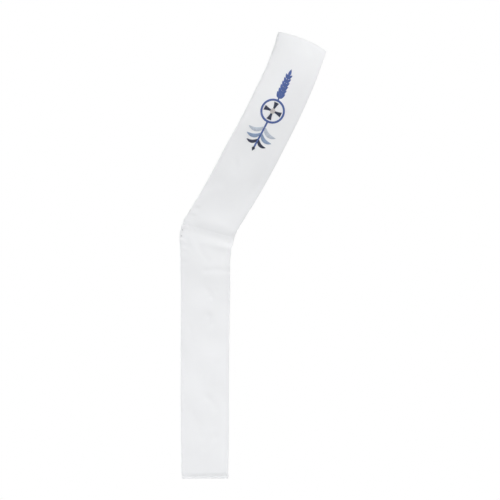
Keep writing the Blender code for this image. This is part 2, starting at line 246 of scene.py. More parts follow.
# Grids of the finished cloth: steps along and columns across, the share by which the columns crowd at the
# edges, rows from a fold and rows from the hem's stitched line
ROW_STEP = 3.2
COLUMNS = 68
CROWDING = 0.28
TAPE_ROW_STEP = 1.2
TAPE_COLUMNS = 15
FOLD_ROWS = FOLD_RADIUS * np.array([0.0, 0.04, 0.15, 0.35, 0.65, 1.0])
HEM_ROWS = np.array([-4.0, -3.0, -2.2, -1.6, -1.2, -0.8, -0.4, 0.0, 0.5, 1.0, 1.7, 2.6, 4.0, 5.5, 7.5])
TURN_STEPS = 10
SIDE_STEPS = 24

# Steps to each side over which the surface's slope and the strip's run are measured
SLOPE_STEP = 0.4
RUN_STEP = 0.5

# Pitches of the tape's twill, of its weft and of a thread's twist, in metres
TWILL_PITCH = 0.0011
WEFT_PITCH = 0.0006
TWIST_PITCH = 0.0007

# How far the painted shade along the long edges softens to each side of the turning's end, and its strength
EDGE_SHADE_SOFTNESS = 1.5
EDGE_SHADE_STRENGTH = 0.25

# Machine stitches: share of the pitch that a stitch covers, rise over the cloth and place in from the
# edge. Slip stitches: share, rise, slant, and how far they stay from the crest, from the hip to each side
# and from the hem.
STITCH_SHARE = 0.82
STITCH_RISE = 0.25
STITCH_INSET = 3.0
SLIP_SHARE = 0.42
SLIP_RISE = 0.3
SLIP_SLANT = 1.3
SLIP_AFTER_CREST = 14.0
SLIP_BEFORE_HIP = 12.0
SLIP_AFTER_HIP = 40.0
SLIP_BEFORE_HEM = 14.0

# The tape's box of stitches: in from its edges, past its first place across and short of its fourth
BOX_INSET = 2.2
BOX_PAST = 2.5
BOX_SHORT = 1.0
BOX_PITCH_SHARE = 0.8

# A tack's bars: rise, tautness, step apart at the near ends and, crossed over, at the far ends, share of
# the dimple's radius that the middle bar reaches to each side, and how much sooner the outer bars stop
TACK_RISE = 0.45
TACK_TAUT = 0.7
TACK_STEP = 0.8
TACK_CROSSED_STEP = 0.3
TACK_REACH = 0.7
TACK_SOONER_NEAR = 0.05
TACK_SOONER_FAR = 0.04

# A thread's radius at its two ends, as a share, and how steeply it grows from there over the thread's
# length
THREAD_END_SHARE = 0.35
THREAD_TAPER = 3.0

# The camera, from the picture's frame: millimetres to a pixel, and the pixel on which the crest's middle
# lies
PICTURE_SIDE = 500
CREST_SCALE = 2.6521
CAMERA_DISTANCE = 12000.0
CREST_PIXEL = (302.5, 41.65)
SENSOR_WIDTH = 36.0

# Lights: name, place, target, side of the square in metres and spread in degrees. The stage has their
# powers.
LIGHTS = (
    ("key", (-3.2, -1.9, 3.0), (-0.2, 0.0, -0.6), 1.6, 180.0),
    ("low_fill", (-1.15, -1.75, -1.2), (-0.15, 0.0, -0.6), 0.45, 180.0),
    ("narrow", (-2.2, -2.2, 2.2), (-0.26, -0.1, -0.85), 0.7, 30.0),
    ("chest", (0.5, -1.5, 0.9), (0.02, -0.06, -0.03), 0.15, 16.0),
    ("side", (3.0, -1.5, 2.2), (0.0, 0.0, -0.1), 1.2, 180.0),
    ("back", (2.4, 4.2, 3.6), (-0.15, 0.0, -0.5), 2.4, 180.0),
    ("back_fill", (-1.4, 4.6, -0.9), (-0.15, 0.0, -0.5), 1.2, 180.0),
)
FLOOR_RINGS = 12
FLOOR_SPOKES = 96


def unit(vectors):
    """The same directions at length 1: each vector divided by its own length."""
    return vectors / np.linalg.norm(vectors, axis=-1, keepdims=True)


def fall(distance, width):
    """1 at distance 0, easing to 0 at the width: the square of what is left of the width."""
    return np.clip(1.0 - distance / width, 0.0, 1.0) ** 2


def ease(value):
    """0 below 0, 1 above 1, and a smooth cubic step between."""
    t = np.clip(value, 0.0, 1.0)
    return t * t * (3 - 2 * t)


def section_column(name):
    """One named column of the sections, crest first."""
    index = SECTION_COLUMNS.index(name)
    return np.array([row[index] for row in SECTIONS], float)


def section_ends(side):
    """Left and right ends of every section of one side, crest first. The back's are shifted aside, except
    at the crest."""
    shift = BACK_SHIFT if side == "back" else 0.0
    moved = shift * np.minimum(1.0, np.arange(len(SECTIONS)))
    ends = []
    for edge in ("left", "right"):
        x = section_column(edge + "_x") + moved
        y = section_column(side + "_" + edge + "_y")
        ends.append(np.stack([x, y, section_column(edge + "_z")], axis=1))
    return ends


def strip_rows():
    """The whole strip's sections from the back hem to the front hem: place along, left end, right end,
    crown."""
    front_left, front_right = section_ends("front")
    back_left, back_right = section_ends("back")
    left = np.concatenate([back_left[:0:-1], front_left])
    right = np.concatenate([back_right[:0:-1], front_right])
    crown = np.concatenate([section_column("crown")[:0:-1], section_column("crown")])
    steps = np.linalg.norm(np.diff((left + right) / 2, axis=0), axis=1)
    along = np.concatenate([[0.0], np.cumsum(steps)])
    return along - along[len(SECTIONS) - 1], left, right, crown


ALONG, LEFT, RIGHT, CROWN = strip_rows()
CREST_ROW = len(SECTIONS) - 1
HIP = {"front": ALONG[CREST_ROW + HIP_SECTION], "back": ALONG[CREST_ROW - HIP_SECTION]}
HEM = {"front": ALONG[-1], "back": ALONG[0]}


def from_hem(along):
    """Distance from the nearer of the two hems."""
    return np.minimum(HEM["front"] - along, along - HEM["back"])


def from_edge(across):
    """Distance in from the nearer long edge."""
    return HALF_WIDTH - np.abs(across)


def smooth(values, places):
    """A cubic through the sections' values. Its slope at a section is the mean of the two chords beside
    it, each weighed by the other's length, so it leans on the nearer neighbour's."""
    values = values.reshape(len(ALONG), -1)
    steps = np.diff(ALONG)[:, None]
    chords = np.diff(values, axis=0) / steps
    slopes = np.empty_like(values)
    slopes[1:-1] = (chords[1:] * steps[:-1] + chords[:-1] * steps[1:]) / (steps[:-1] + steps[1:])
    slopes[0] = chords[0]
    slopes[-1] = chords[-1]
    first = np.clip(np.searchsorted(ALONG, places, side="right") - 1, 0, len(ALONG) - 2)
    step = steps[first]
    t = ((places - ALONG[first])[:, None]) / step
    start = (1 + 2 * t) * (1 - t) ** 2 * values[first] + t * (1 - t) ** 2 * step * slopes[first]
    end = t**2 * (3 - 2 * t) * values[first + 1] + t**2 * (t - 1) * step * slopes[first + 1]
    return start + end


def crease_height(past_hip, across, creases):
    """Sum of the creases. Each is a bell across a bowed line (e to the minus square of the distance over
    the half width), with a lower bell of the other sign beside it, and fades past its two ends as a bell
    too. The bow is a parabola."""
    height = np.zeros(past_hip.shape)
    for _name, along_1, across_1, along_2, across_2, bend, half_width, depth, twin in creases:
        run = np.array([along_2 - along_1, across_2 - across_1], float)
        length = np.hypot(*run)
        run /= length
        share = ((past_hip - along_1) * run[0] + (across - across_1) * run[1]) / length
        beyond = np.maximum(np.maximum(-share, share - 1.0), 0.0) * length
        inside = np.clip(share, 0.0, 1.0)
        aside = (across - across_1) * run[0] - (past_hip - along_1) * run[1]
        aside = aside - 4 * bend * inside * (1 - inside)
        bell = np.exp(-((aside / half_width) ** 2))
        beside = np.exp(-(((aside - TWIN_ASIDE * half_width) / half_width) ** 2))
        height += depth * (bell - twin * beside) * np.exp(-((beyond / half_width) ** 2))
    return height


def swell(along, across):
    """Faint unevenness of hanging cloth: a sum of long crossed sines, each with its own share, lengths
    along and across in millimetres for one radian, and phase."""
    return (
        0.42 * np.sin(along / 31.0 + 1.7 * np.sin(across / 44.0) + 0.4)
        + 0.36 * np.sin(along / 19.0 - across / 27.0 + 2.1)
        + 0.24 * np.sin(along / 47.0 + across / 16.0 + 4.0)
        + 0.10 * np.sin(along / 11.5 + across / 38.0 + 1.1)
    )


def pucker(place, phase):
    """Uneven ripples along a sewn line: two sines whose phases drift by slower sines, so that no two
    ripples are alike, times a strength that swells and sinks as a third."""
    drift = 1.9 * np.sin(place / 57.0 + phase) + 1.1 * np.sin(place / 23.0 + 2 * phase)
    strength = 0.55 + 0.45 * np.sin(place / 71.0 + 3 * phase)
    return strength * (np.sin(place / 2.6 + drift) + 0.5 * np.sin(place / 4.3 + phase - drift))


def relief(along, across, cloth):
    """How far the cloth's middle stands out from the plain bowed band, in millimetres: its creases, slow
    unevenness and ripples, less the roll of its edges, the sinks of its seams, the slope to the hem's
    stitched line and the tacks' bell shaped dimples."""
    edge = from_edge(across)
    right_side = across > 0
    height = -EDGE_ROLL_DROP * np.where(right_side, RIGHT_EDGE_SHARE, 1.0) * fall(edge, EDGE_ROLL_WIDTH)
    past_front = along - HIP["front"]
    past_back = HIP["back"] - along
    front = along > 0
    creases = np.where(
        front,
        crease_height(past_front, across, FRONT_CREASES),
        crease_height(past_back, across, BACK_CREASES),
    )
    height = height + cloth.crease_strength * creases
    height += cloth.swell_height * swell(along, across) * (1 - fall(edge, SWELL_CALM))
    past_hip = np.where(front, past_front, past_back)
    side_phase = np.where(across < 0, LEFT_PHASE, RIGHT_PHASE) + np.where(front, 0.0, BACK_PHASE)
    height += cloth.pucker_height * pucker(along, side_phase) * fall(edge, SIDE_REACH)
    height += cloth.pucker_height * pucker(across, HIP_PHASE) * fall(np.abs(past_hip), HIP_REACH)
    height += cloth.pucker_height * pucker(across, CREST_PHASE) * fall(np.abs(along), CREST_REACH)
    height -= SEAM_SINK * fall(np.abs(along), SEAM_SINK_WIDTH)
    height -= HIP_SINK * fall(np.abs(past_hip), HIP_SINK_WIDTH)
    to_hem = from_hem(along)
    past_line = to_hem - HEM_LINE
    pulled = HEM_PULL * ease(1 - past_line / HEM_PULL_WIDTH)
    height -= pulled - HEM_RETURN * ease(-past_line / HEM_RETURN_WIDTH)
    side_roll = np.where(right_side, RIGHT_ROLL, LEFT_ROLL) * ease(np.abs(along) / CREST_HOLD)
    height -= side_roll * fall(edge, SIDE_ROLL_WIDTH)
    height -= HEM_ROLL * fall(to_hem, HEM_ROLL_WIDTH)
    for tack_along, tack_across, radius, depth in TACKS:
        away = (past_hip - tack_along) ** 2 + (across - tack_across) ** 2
        height -= depth * np.exp(-away / radius**2)
    return height


def round_share(distance, thinnest=THINNEST_SHARE):
    """Share of the full thickness near a folded edge: a half circle's profile, never quite to nothing."""
    reach = np.clip(1.0 - distance / FOLD_RADIUS, 0.0, 1.0)
    return thinnest + (1 - thinnest) * np.sqrt(1.0 - reach**2)


def wall_thickness(along, across, ends):
    """The cloth's thickness: round at its folds, more over the turnings and in the hem, less in its
    stitched groove. Ends are the panel's own two places along the strip."""
    to_hem = from_hem(along)
    hem = ease(HEM_LINE - HEM_STEP_BELOW - to_hem)
    groove = fall(np.abs(to_hem - HEM_LINE), HEM_GROOVE_WIDTH)
    edge = from_edge(across)
    turning = ease((TURNING_WIDTH - edge) / TURNING_SOFTNESS + 0.5)
    thickness = CLOTH_THICKNESS + HEM_EXTRA_THICKNESS * hem - HEM_GROOVE_DEPTH * groove * (1 - hem)
    thickness = thickness + TURNING_STEP * turning
    to_end = np.minimum(along - ends[0], ends[1] - along)
    folds = np.where(to_end < to_hem, round_share(to_end, SEAM_SHARE), round_share(to_end))
    return thickness * round_share(edge) * folds


def corner_share(along):
    """Share of the width left at the hem's round corners, each a quarter of an ellipse."""
    reach = np.clip(1.0 - from_hem(along) / CORNER_HEIGHT, 0.0, 1.0)
    inset = CORNER_INSET * (1.0 - np.sqrt(1.0 - reach**2))
    return 1.0 - inset / HALF_WIDTH


def middle_point(along, across, cloth):
    """Points of the cloth's middle: each lies on the chord of its section, raised by the crown's parabola
    and by the relief. They are raised square to both the chord and the strip's own run."""
    left = smooth(LEFT, along)
    right = smooth(RIGHT, along)
    middle = (LEFT + RIGHT) / 2
    ahead = smooth(middle, along + RUN_STEP) - smooth(middle, along - RUN_STEP)
    outward = unit(np.cross(ahead, right - left))
    share = across / HALF_WIDTH * corner_share(along)
    chord = left + (right - left) * (1 + share[:, None]) / 2
    height = smooth(CROWN, along)[:, 0] * (1 - share**2) + relief(along, across, cloth)
    return chord + outward * height[:, None], outward


def surface(along, across, cloth):
    """Points of the cloth's middle and its outward directions: the cross product of the differences
    between the points a small step to each side."""
    shape = np.broadcast(along, across).shape
    along = np.broadcast_to(along, shape).ravel().astype(float)
    across = np.broadcast_to(across, shape).ravel().astype(float)
    points, outward = middle_point(along, across, cloth)
    ahead, behind = (middle_point(along + step, across, cloth)[0] for step in (SLOPE_STEP, -SLOPE_STEP))
    right, left = (middle_point(along, across + step, cloth)[0] for step in (SLOPE_STEP, -SLOPE_STEP))
    normals = unit(np.cross(ahead - behind, right - left))
    normals *= np.sign((normals * outward).sum(axis=1, keepdims=True))
    return points.reshape(*shape, 3), normals.reshape(*shape, 3)


def plain_crest_underside():
    """The underside at the middle of the crest in the sections' own frame, which lies at the world's
    origin."""
    crown = SECTIONS[0][-1] - SEAM_SINK
    chord = RIGHT[CREST_ROW] - LEFT[CREST_ROW]
    outward = unit(np.array([-chord[2], 0.0, chord[0]]))
    return outward * (crown - CLOTH_THICKNESS / 2)


ORIGIN_SHIFT = plain_crest_underside()


def to_world(points):
    """Metres in the frame from millimetres in the sections' own frame: less the crest's underside."""
    return (points - ORIGIN_SHIFT) * MM


def wall_quads(rows, columns):
    """Faces of a closed wall: outer points row by row, then inner points, with outward faces all
    round."""
    outer = np.arange(rows * columns).reshape(rows, columns)
    inner = outer + rows * columns
    quads = (
        (outer[:-1, :-1], outer[1:, :-1], outer[1:, 1:], outer[:-1, 1:]),
        (inner[:-1, :-1], inner[:-1, 1:], inner[1:, 1:], inner[1:, :-1]),
        (outer[0, :-1], outer[0, 1:], inner[0, 1:], inner[0, :-1]),
        (outer[-1, 1:], outer[-1, :-1], inner[-1, :-1], inner[-1, 1:]),
        (outer[1:, 0], outer[:-1, 0], inner[:-1, 0], inner[1:, 0]),
        (outer[:-1, -1], outer[1:, -1], inner[1:, -1], inner[:-1, -1]),
    )
    return np.concatenate([np.stack(corners, axis=-1).reshape(-1, 4) for corners in quads])


def loop_quads(index):
    """Faces between neighbour rows of closed loops: the last axis of the index runs round a loop."""
    after = np.roll(index, -1, axis=-1)
    here, there = np.s_[..., :-1, :], np.s_[..., 1:, :]
    return np.stack([index[here], index[there], after[there], after[here]], axis=-1).reshape(-1, 4)


def add_mesh(name, points, faces, uv, finish, tone=None):
    """One object at the origin for points in metres, faces as index rows, one UV place for each point,
    and where it is thread, one tone for each point, which holds painted shade and, for satin, also the
    thread's own tone."""
    old = bpy.data.objects.get(name)
    if old:
        bpy.data.objects.remove(old, do_unlink=True)
    mesh = bpy.data.meshes.new(name)
    corners = np.concatenate([np.asarray(part, np.int32).ravel() for part in faces])
    counts = np.concatenate([np.full(len(part), np.asarray(part).shape[1], np.int32) for part in faces])
    mesh.vertices.add(len(points))
    mesh.vertices.foreach_set("co", points.astype(np.float32).ravel())
    mesh.loops.add(len(corners))
    mesh.loops.foreach_set("vertex_index", corners)
    mesh.polygons.add(len(counts))
    mesh.polygons.foreach_set("loop_start", np.concatenate([[0], np.cumsum(counts)[:-1]]).astype(np.int32))
    mesh.update(calc_edges=True)
    layer = mesh.uv_layers.new(name="cloth")
    layer.data.foreach_set("uv", uv[corners].astype(np.float32).ravel())
    if tone is not None:
        mesh.attributes.new("tone", "FLOAT", "POINT").data.foreach_set("value", tone.astype(np.float32))
    mesh.shade_smooth()
    mesh.materials.append(finish)
    if mesh.validate():
        raise RuntimeError(f"{name} has faces that Blender had to repair")
    obj = bpy.data.objects.new(name, mesh)
    bpy.context.scene.collection.objects.link(obj)
    return obj


def add_wall(name, outer, inner, uv, finish):
    """A closed wall between two grids of points in millimetres, with the same UV places on both."""
    rows, columns = outer.shape[:2]
    points = to_world(np.concatenate([outer.reshape(-1, 3), inner.reshape(-1, 3)]))
    places = np.concatenate([uv.reshape(-1, 2)] * 2) * MM
    return add_mesh(name, points, [wall_quads(rows, columns)], places, finish)


def across_places():
    """Columns from the left edge to the right edge: an even step mixed with a sine's, which is closer
    together at the edges, and the folds' own places at both ends."""
    t = np.linspace(-1, 1, COLUMNS)
    spread = (HALF_WIDTH - FOLD_RADIUS) * ((1 - CROWDING) * t + CROWDING * np.sin(t * np.pi / 2))
    folds = FOLD_ROWS[:-1]
    return np.concatenate([-HALF_WIDTH + folds, spread, (HALF_WIDTH - folds)[::-1]])


def along_places(ends, hem):
    """Rows of a panel between its two ends, with the folds' own places and, at a hem, rows for its
    step."""
    first = ends[0] + FOLD_ROWS
    last = (ends[1] - FOLD_ROWS)[::-1]
    count = int(round((last[0] - first[-1]) / ROW_STEP)) + 1
    places = np.concatenate([first[:-1], np.linspace(first[-1], last[0], count), last[1:]])
    if hem is None:
        return places
    step_rows = hem - np.sign(hem) * (HEM_LINE + HEM_ROWS)
    return np.unique(np.concatenate([places, step_rows]))


def panel_ends(name):
    """A panel's two ends along the strip. Panels meet at their seams with the slightest overlap."""
    side, part = name.split("_")
    overlap = SEAM_OVERLAP * SIGN[side]
    if part == "upper":
        ends = (-overlap, HIP[side] + overlap)
    else:
        ends = (HIP[side] - overlap, HEM[side])
    return tuple(sorted(ends))


def noise_node(tree, vector, scale, detail=3.0, roughness=0.5):
    """Soft noise over the vector, about scale patches to its unit, from 0 to 1."""
    node = tree.nodes.new("ShaderNodeTexNoise")
    node.inputs["Scale"].default_value = scale
    node.inputs["Detail"].default_value = detail
    node.inputs["Roughness"].default_value = roughness
    tree.links.new(vector, node.inputs["Vector"])
    return node.outputs["Fac"]


def wave_node(tree, vector, period, direction, distortion=0.0):
    """A sine wave of that period, in the vector's own unit. Blender's wave repeats every pi / 10 over its
    scale."""
    node = tree.nodes.new("ShaderNodeTexWave")
    node.wave_type = "BANDS"
    node.bands_direction = direction
    node.wave_profile = "SIN"
    node.inputs["Scale"].default_value = math.pi / 10 / period
    node.inputs["Distortion"].default_value = distortion
    node.inputs["Detail"].default_value = 2.0
    tree.links.new(vector, node.inputs["Vector"])
    return node.outputs["Fac"]


def math_node(tree, operation, first, second):
    """One sum or other operation on two values, each a number or a socket."""
    node = tree.nodes.new("ShaderNodeMath")
    node.operation = operation
    for socket, value in zip(node.inputs, (first, second)):
        if isinstance(value, (int, float)):
            socket.default_value = value
        else:
            tree.links.new(value, socket)
    return node.outputs[0]


def colour_between(tree, share, first, second):
    """A straight mix of two colours, each three numbers or a socket: the first at share 0 and the second
    at share 1."""
    node = tree.nodes.new("ShaderNodeMix")
    node.data_type = "RGBA"
    for key, colour in (("A", first), ("B", second)):
        if isinstance(colour, bpy.types.NodeSocket):
            tree.links.new(colour, node.inputs[key])
        else:
            node.inputs[key].default_value = (*colour, 1.0)
    tree.links.new(share, node.inputs["Factor"])
    return node.outputs["Result"]


def new_finish(name, roughness, sheen, sheen_roughness, specular=0.35):
    """A material with a Principled shader, its constant values set on the shader's own sockets."""
    old = bpy.data.materials.get(name)
    if old:
        bpy.data.materials.remove(old)
    finish = bpy.data.materials.new(name)
    finish.use_nodes = True
    tree = finish.node_tree
    shader = tree.nodes["Principled BSDF"]
    shader.inputs["Roughness"].default_value = roughness
    shader.inputs["Sheen Weight"].default_value = sheen
    shader.inputs["Sheen Roughness"].default_value = sheen_roughness
    shader.inputs["Specular IOR Level"].default_value = specular
    uv = tree.nodes.new("ShaderNodeUVMap")
    uv.uv_map = "cloth"
    place = tree.nodes.new("ShaderNodeTexCoord")
    return finish, tree, shader, uv.outputs["UV"], place.outputs["Object"]


def add_bump(tree, shader, height, strength, distance, under=None):
    """Bump by a height on the shader, over the bump under it where there is one. Distance is in
    metres."""
    node = tree.nodes.new("ShaderNodeBump")
    node.inputs["Strength"].default_value = strength
    node.inputs["Distance"].default_value = distance
    tree.links.new(height, node.inputs["Height"])
    if under is not None:
        tree.links.new(under, node.inputs["Normal"])
    tree.links.new(node.outputs["Normal"], shader.inputs["Normal"])
    return node.outputs["Normal"]


def cloth_finish(cloth):
    """White cloth: the greater of a warp wave and a weft wave, with uneven yarns, faint soft shade, painted
    shade along both long edges over the turnings, and a low sheen."""
    finish, tree, shader, uv, place = new_finish(
        "white_cloth", roughness=cloth.roughness, sheen=cloth.sheen, sheen_roughness=0.35
    )
    slub = tree.nodes.new("ShaderNodeMapping")
    slub.inputs["Scale"].default_value = (1.0, 14.0, 1.0)
    tree.links.new(uv, slub.inputs["Vector"])
    yarns = noise_node(tree, slub.outputs["Vector"], scale=160.0, detail=2.0)
    shade = noise_node(tree, place, scale=9.0, detail=4.0, roughness=0.55)
    soft_share = math_node(tree, "MULTIPLY", shade, 0.6)
    yarn_share = math_node(tree, "MULTIPLY", yarns, 0.4)
    mixed = math_node(tree, "ADD", soft_share, yarn_share)
    colour = colour_between(tree, mixed, cloth.shade_colour, cloth.colour)
    # Painted shade along both long edges: over the turnings the colour blends towards the darker edge shade
    # colour
    across = tree.nodes.new("ShaderNodeSeparateXYZ")
    tree.links.new(uv, across.inputs[0])
    from_middle = math_node(tree, "ABSOLUTE", across.outputs["X"], 0.0)
    turned = tree.nodes.new("ShaderNodeMapRange")
    turned.interpolation_type = "SMOOTHSTEP"
    turned.inputs["From Min"].default_value = (HALF_WIDTH - TURNING_WIDTH - EDGE_SHADE_SOFTNESS) * MM
    turned.inputs["From Max"].default_value = (HALF_WIDTH - TURNING_WIDTH + EDGE_SHADE_SOFTNESS) * MM
    turned.inputs["To Max"].default_value = EDGE_SHADE_STRENGTH
    tree.links.new(from_middle, turned.inputs["Value"])
    edge_shaded_colour = colour_between(tree, turned.outputs["Result"], colour, cloth.edge_shade_colour)
    tree.links.new(edge_shaded_colour, shader.inputs["Base Color"])
    pitch = cloth.weave_pitch
    warp = wave_node(tree, uv, pitch, "X", distortion=0.6)
    weft = wave_node(tree, uv, pitch * 1.15, "Y", distortion=0.6)
    weave = math_node(tree, "MAXIMUM", warp, weft)
    height = math_node(tree, "ADD", weave, math_node(tree, "MULTIPLY", yarns, 0.8))
    crumple = noise_node(tree, place, scale=38.0, detail=5.0)
    soft = add_bump(tree, shader, crumple, cloth.crumple_strength, distance=0.004)
    add_bump(tree, shader, height, cloth.weave_strength, distance=pitch * 0.25, under=soft)
    return finish


def tape_finish(cloth):
    """Woven tape: slanted twill lines over a fine weft."""
    finish, tree, shader, uv, place = new_finish(
        "white_tape", roughness=0.7, sheen=cloth.sheen, sheen_roughness=0.5
    )
    shade = noise_node(tree, place, scale=60.0)
    tree.links.new(colour_between(tree, shade, cloth.shade_colour, cloth.colour), shader.inputs["Base Color"])
    twill = wave_node(tree, uv, TWILL_PITCH, "DIAGONAL", distortion=0.2)
    weft = wave_node(tree, uv, WEFT_PITCH, "Y")
    add_bump(tree, shader, math_node(tree, "ADD", twill, weft), strength=0.5, distance=0.0002)
    return finish


def thread_finish(name, colour):
    """Twisted thread: each strand has its own tone, with painted shade where it dips beside the next and
    at a stitch's feet and a painted highlight on its crest, with faint patches and with fine twist lines
    across it."""
    finish, tree, shader, uv, place = new_finish(
        name, roughness=0.42, sheen=0.12, sheen_roughness=0.3, specular=0.5
    )
    tone = tree.nodes.new("ShaderNodeAttribute")
    tone.attribute_name = "tone"
    patches = noise_node(tree, place, scale=90.0, detail=2.0)
    # The tone attribute is painted shade, lighter on each thread's crest and darker where it dips, and for
    # satin also each thread's own seeded tone
    strands = math_node(tree, "MULTIPLY", tone.outputs["Fac"], 0.8)
    mixed = math_node(tree, "ADD", strands, math_node(tree, "MULTIPLY", patches, 0.2))
    dark = tuple(channel * 0.38 for channel in colour)
    light = tuple(min(1.0, channel * 1.2) for channel in colour)
    tree.links.new(colour_between(tree, mixed, dark, light), shader.inputs["Base Color"])
    twist = wave_node(tree, uv, TWIST_PITCH, "DIAGONAL", distortion=0.3)
    add_bump(tree, shader, twist, strength=0.35, distance=0.0001)
    return finish


def ride(piece):
    """Fix a piece to the body."""
    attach(piece, BODY)
    return piece


def panel_size(ends):
    """Flat width and length of a panel, and its area: the length is its longer edge's, and the area is
    the band's width times the mean length of its two long edges."""
    places = np.linspace(ends[0], ends[1], 200)
    edges = [smooth(side, places) for side in (LEFT, RIGHT)]
    lengths = [np.linalg.norm(np.diff(edge, axis=0), axis=1).sum() for edge in edges]
    return (BAND_WIDTH * MM, max(lengths) * MM), BAND_WIDTH * sum(lengths) / 2 * MM**2


def add_panel(name, cloth, finish):
    """One panel of the band as a closed wall of cloth: its middle surface plus and minus half its
    thickness, along the surface's own outward direction."""
    side, part = name.split("_")
    ends = panel_ends(name)
    along = along_places(ends, HEM[side] if part == "lower" else None)
    across = across_places()
    points, normals = surface(along[:, None], across[None, :], cloth)
    half = wall_thickness(along[:, None], across[None, :], ends)[..., None] / 2
    places = np.stack(np.broadcast_arrays(across[None, :], along[:, None]), axis=-1)
    piece = add_wall(name + "_cloth", points + normals * half, points - normals * half, places, finish)
    ride(piece)
    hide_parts(name)
    flat, area = panel_size(ends)
    return piece


def tape_hold(side, cloth):
    """Rows of the tape's middle on the inside of a lower panel, one for each place across, from top to
    bottom: the cloth's middle, moved inwards by half of both thicknesses and the seat gap."""
    heights = np.linspace(-0.5, 0.5, TAPE_COLUMNS) * LINK_WIDTH
    along = SIGN[side] * (abs(HIP[side]) + LINK_DROP + heights)
    points, normals = surface(along[None, :], np.array(LINK_ACROSS)[:, None], cloth)
    inwards = (CLOTH_THICKNESS + LINK_THICKNESS) / 2 + LINK_SEAT_GAP
    return points - normals * inwards


def parabola(start, control, end, t):
    """Points that leave the start towards the control point and end coming from it: the three points
    weighed by (1 - t) squared, 2 t (1 - t) and t squared."""
    return (1 - t) ** 2 * start + 2 * t * (1 - t) * control + t**2 * end


def round_corner(start, corner, after):
    """Rows on a parabola that leaves the start towards the corner, and ends as far past the corner."""
    reach = np.linalg.norm(corner - start, axis=-1, keepdims=True)
    end = corner + unit(after - corner) * reach
    return parabola(start, corner, end, np.linspace(0, 1, TURN_STEPS + 1)[:, None, None])


def resampled(rows, step):
    """The same path with rows an even step apart, by straight lines between the given rows."""
    lengths = np.linalg.norm(np.diff(rows.mean(axis=1), axis=0), axis=1)
    along = np.concatenate([[0.0], np.cumsum(lengths)])
    wanted = np.linspace(0, along[-1], int(round(along[-1] / step)) + 1)
    flat = rows.reshape(len(rows), -1)
    columns = [np.interp(wanted, along, flat[:, k]) for k in range(flat.shape[1])]
    return np.stack(columns, axis=1).reshape(len(wanted), *rows.shape[1:]), wanted


def tape_rows(cloth):
    """The tape's middle: along the front panel's inside, round the hip's side, bowed by half a sine's
    wave, and along the back panel's inside."""
    holds = [tape_hold(side, cloth) for side in SIGN]
    turns = [round_corner(hold[-2], hold[-1], other[-1]) for hold, other in (holds, holds[::-1])]
    t = np.linspace(0, 1, SIDE_STEPS + 1)[:, None, None]
    side = turns[0][-1] * (1 - t) + turns[1][-1] * t
    side[..., 0] -= LINK_BOW * np.sin(np.pi * t[..., 0])
    return np.concatenate([holds[0][:-2], turns[0], side[1:-1], turns[1][::-1], holds[1][-3::-1]])


def add_tape(cloth, finish):
    """The link as a closed wall, thinner at its woven edges by a straight slope and at its cut ends, and
    lifted at its edges by a sine's ripple."""
    middle, places = resampled(tape_rows(cloth), TAPE_ROW_STEP)
    aside = unit(np.cross(np.gradient(middle, axis=0), np.gradient(middle, axis=1)))
    width = np.linspace(-0.5, 0.5, TAPE_COLUMNS) * LINK_WIDTH
    edge = LINK_WIDTH / 2 - np.abs(width)
    wave = LINK_RIPPLE * np.sin(places / LINK_RIPPLE_LENGTH)
    ripple = wave[:, None] * fall(edge, LINK_RIPPLE_REACH)[None, :]
    share = np.minimum(1.0, LINK_EDGE_SHARE + edge / LINK_EDGE_WIDTH)[None, :] * np.ones((len(places), 1))
    share[[0, -1]] *= LINK_END_SHARE
    half = (LINK_THICKNESS / 2 * share)[..., None]
    middle = middle + aside * ripple[..., None]
    uv = np.stack(np.broadcast_arrays(width[None, :], places[:, None]), axis=-1)
    piece = add_wall("side_link_tape", middle + aside * half, middle - aside * half, uv, finish)
    ride(piece)
    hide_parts("side_link")
    return piece


def tubes(paths, across_1, across_2, radius, sides=6):
    """Many thread tubes at once. Paths are k rows of n points, and the two directions square to each path
    carry a circle of the radius, narrower by a straight taper at both ends. Returns points, side faces
    and end faces."""
    count, steps = paths.shape[:2]
    angle = np.linspace(0, 2 * np.pi, sides, endpoint=False)
    to_end = np.minimum(np.linspace(0, 1, steps), np.linspace(1, 0, steps))
    taper = np.minimum(1.0, THREAD_END_SHARE + THREAD_TAPER * to_end)
    ring = across_1[:, :, None] * np.cos(angle)[:, None] + across_2[:, :, None] * np.sin(angle)[:, None]
    points = paths[:, :, None] + ring * radius * taper[None, :, None, None]
    index = np.arange(count * steps * sides).reshape(count, steps, sides)
    turned = loop_quads(index)[:, [0, 3, 2, 1]]
    caps = np.concatenate([index[:, 0, ::-1], index[:, -1]])
    return points.reshape(-1, 3), turned, caps


def stitch_row(starts, ends, cloth, face, rise, radius, lift, steps=7, taut=0.0):
    """Stitches from start places to end places, each an arch over the cloth: half a sine's wave to the
    power 0.7 high, with both feet sunk by the radius. Face is 1 for the outside and -1 for the inside.
    Taut is the share by which the thread leaves the cloth for the straight line between its feet. Returns
    a tube mesh, and the UV place and tone of each point. The tone is painted shade: a painted highlight
    at the arch's middle, darker towards its feet."""
    t = np.linspace(0, 1, steps)
    along = starts[:, :1] + (ends[:, :1] - starts[:, :1]) * t
    across = starts[:, 1:] + (ends[:, 1:] - starts[:, 1:]) * t
    points, normals = surface(along, across, cloth)
    normals = normals * face
    height = lift + rise * np.sin(np.pi * t) ** 0.7 - radius
    straight = points[:, :1] + (points[:, -1:] - points[:, :1]) * t[:, None]
    paths = points + (straight - points) * taut + normals * height[None, :, None]
    ahead = unit(np.gradient(paths, axis=1))
    side = unit(np.cross(ahead, normals))
    up = np.cross(side, ahead)
    mesh = tubes(paths, side, up, radius)
    turns = len(mesh[0]) // along.size
    # Painted shade: lighter at the arch's middle and darker towards its feet
    tone = np.broadcast_to(0.6 + 0.3 * np.sin(np.pi * t), along.shape)
    return mesh, np.stack([np.repeat(part.ravel(), turns) for part in (across, along, tone)], axis=-1)


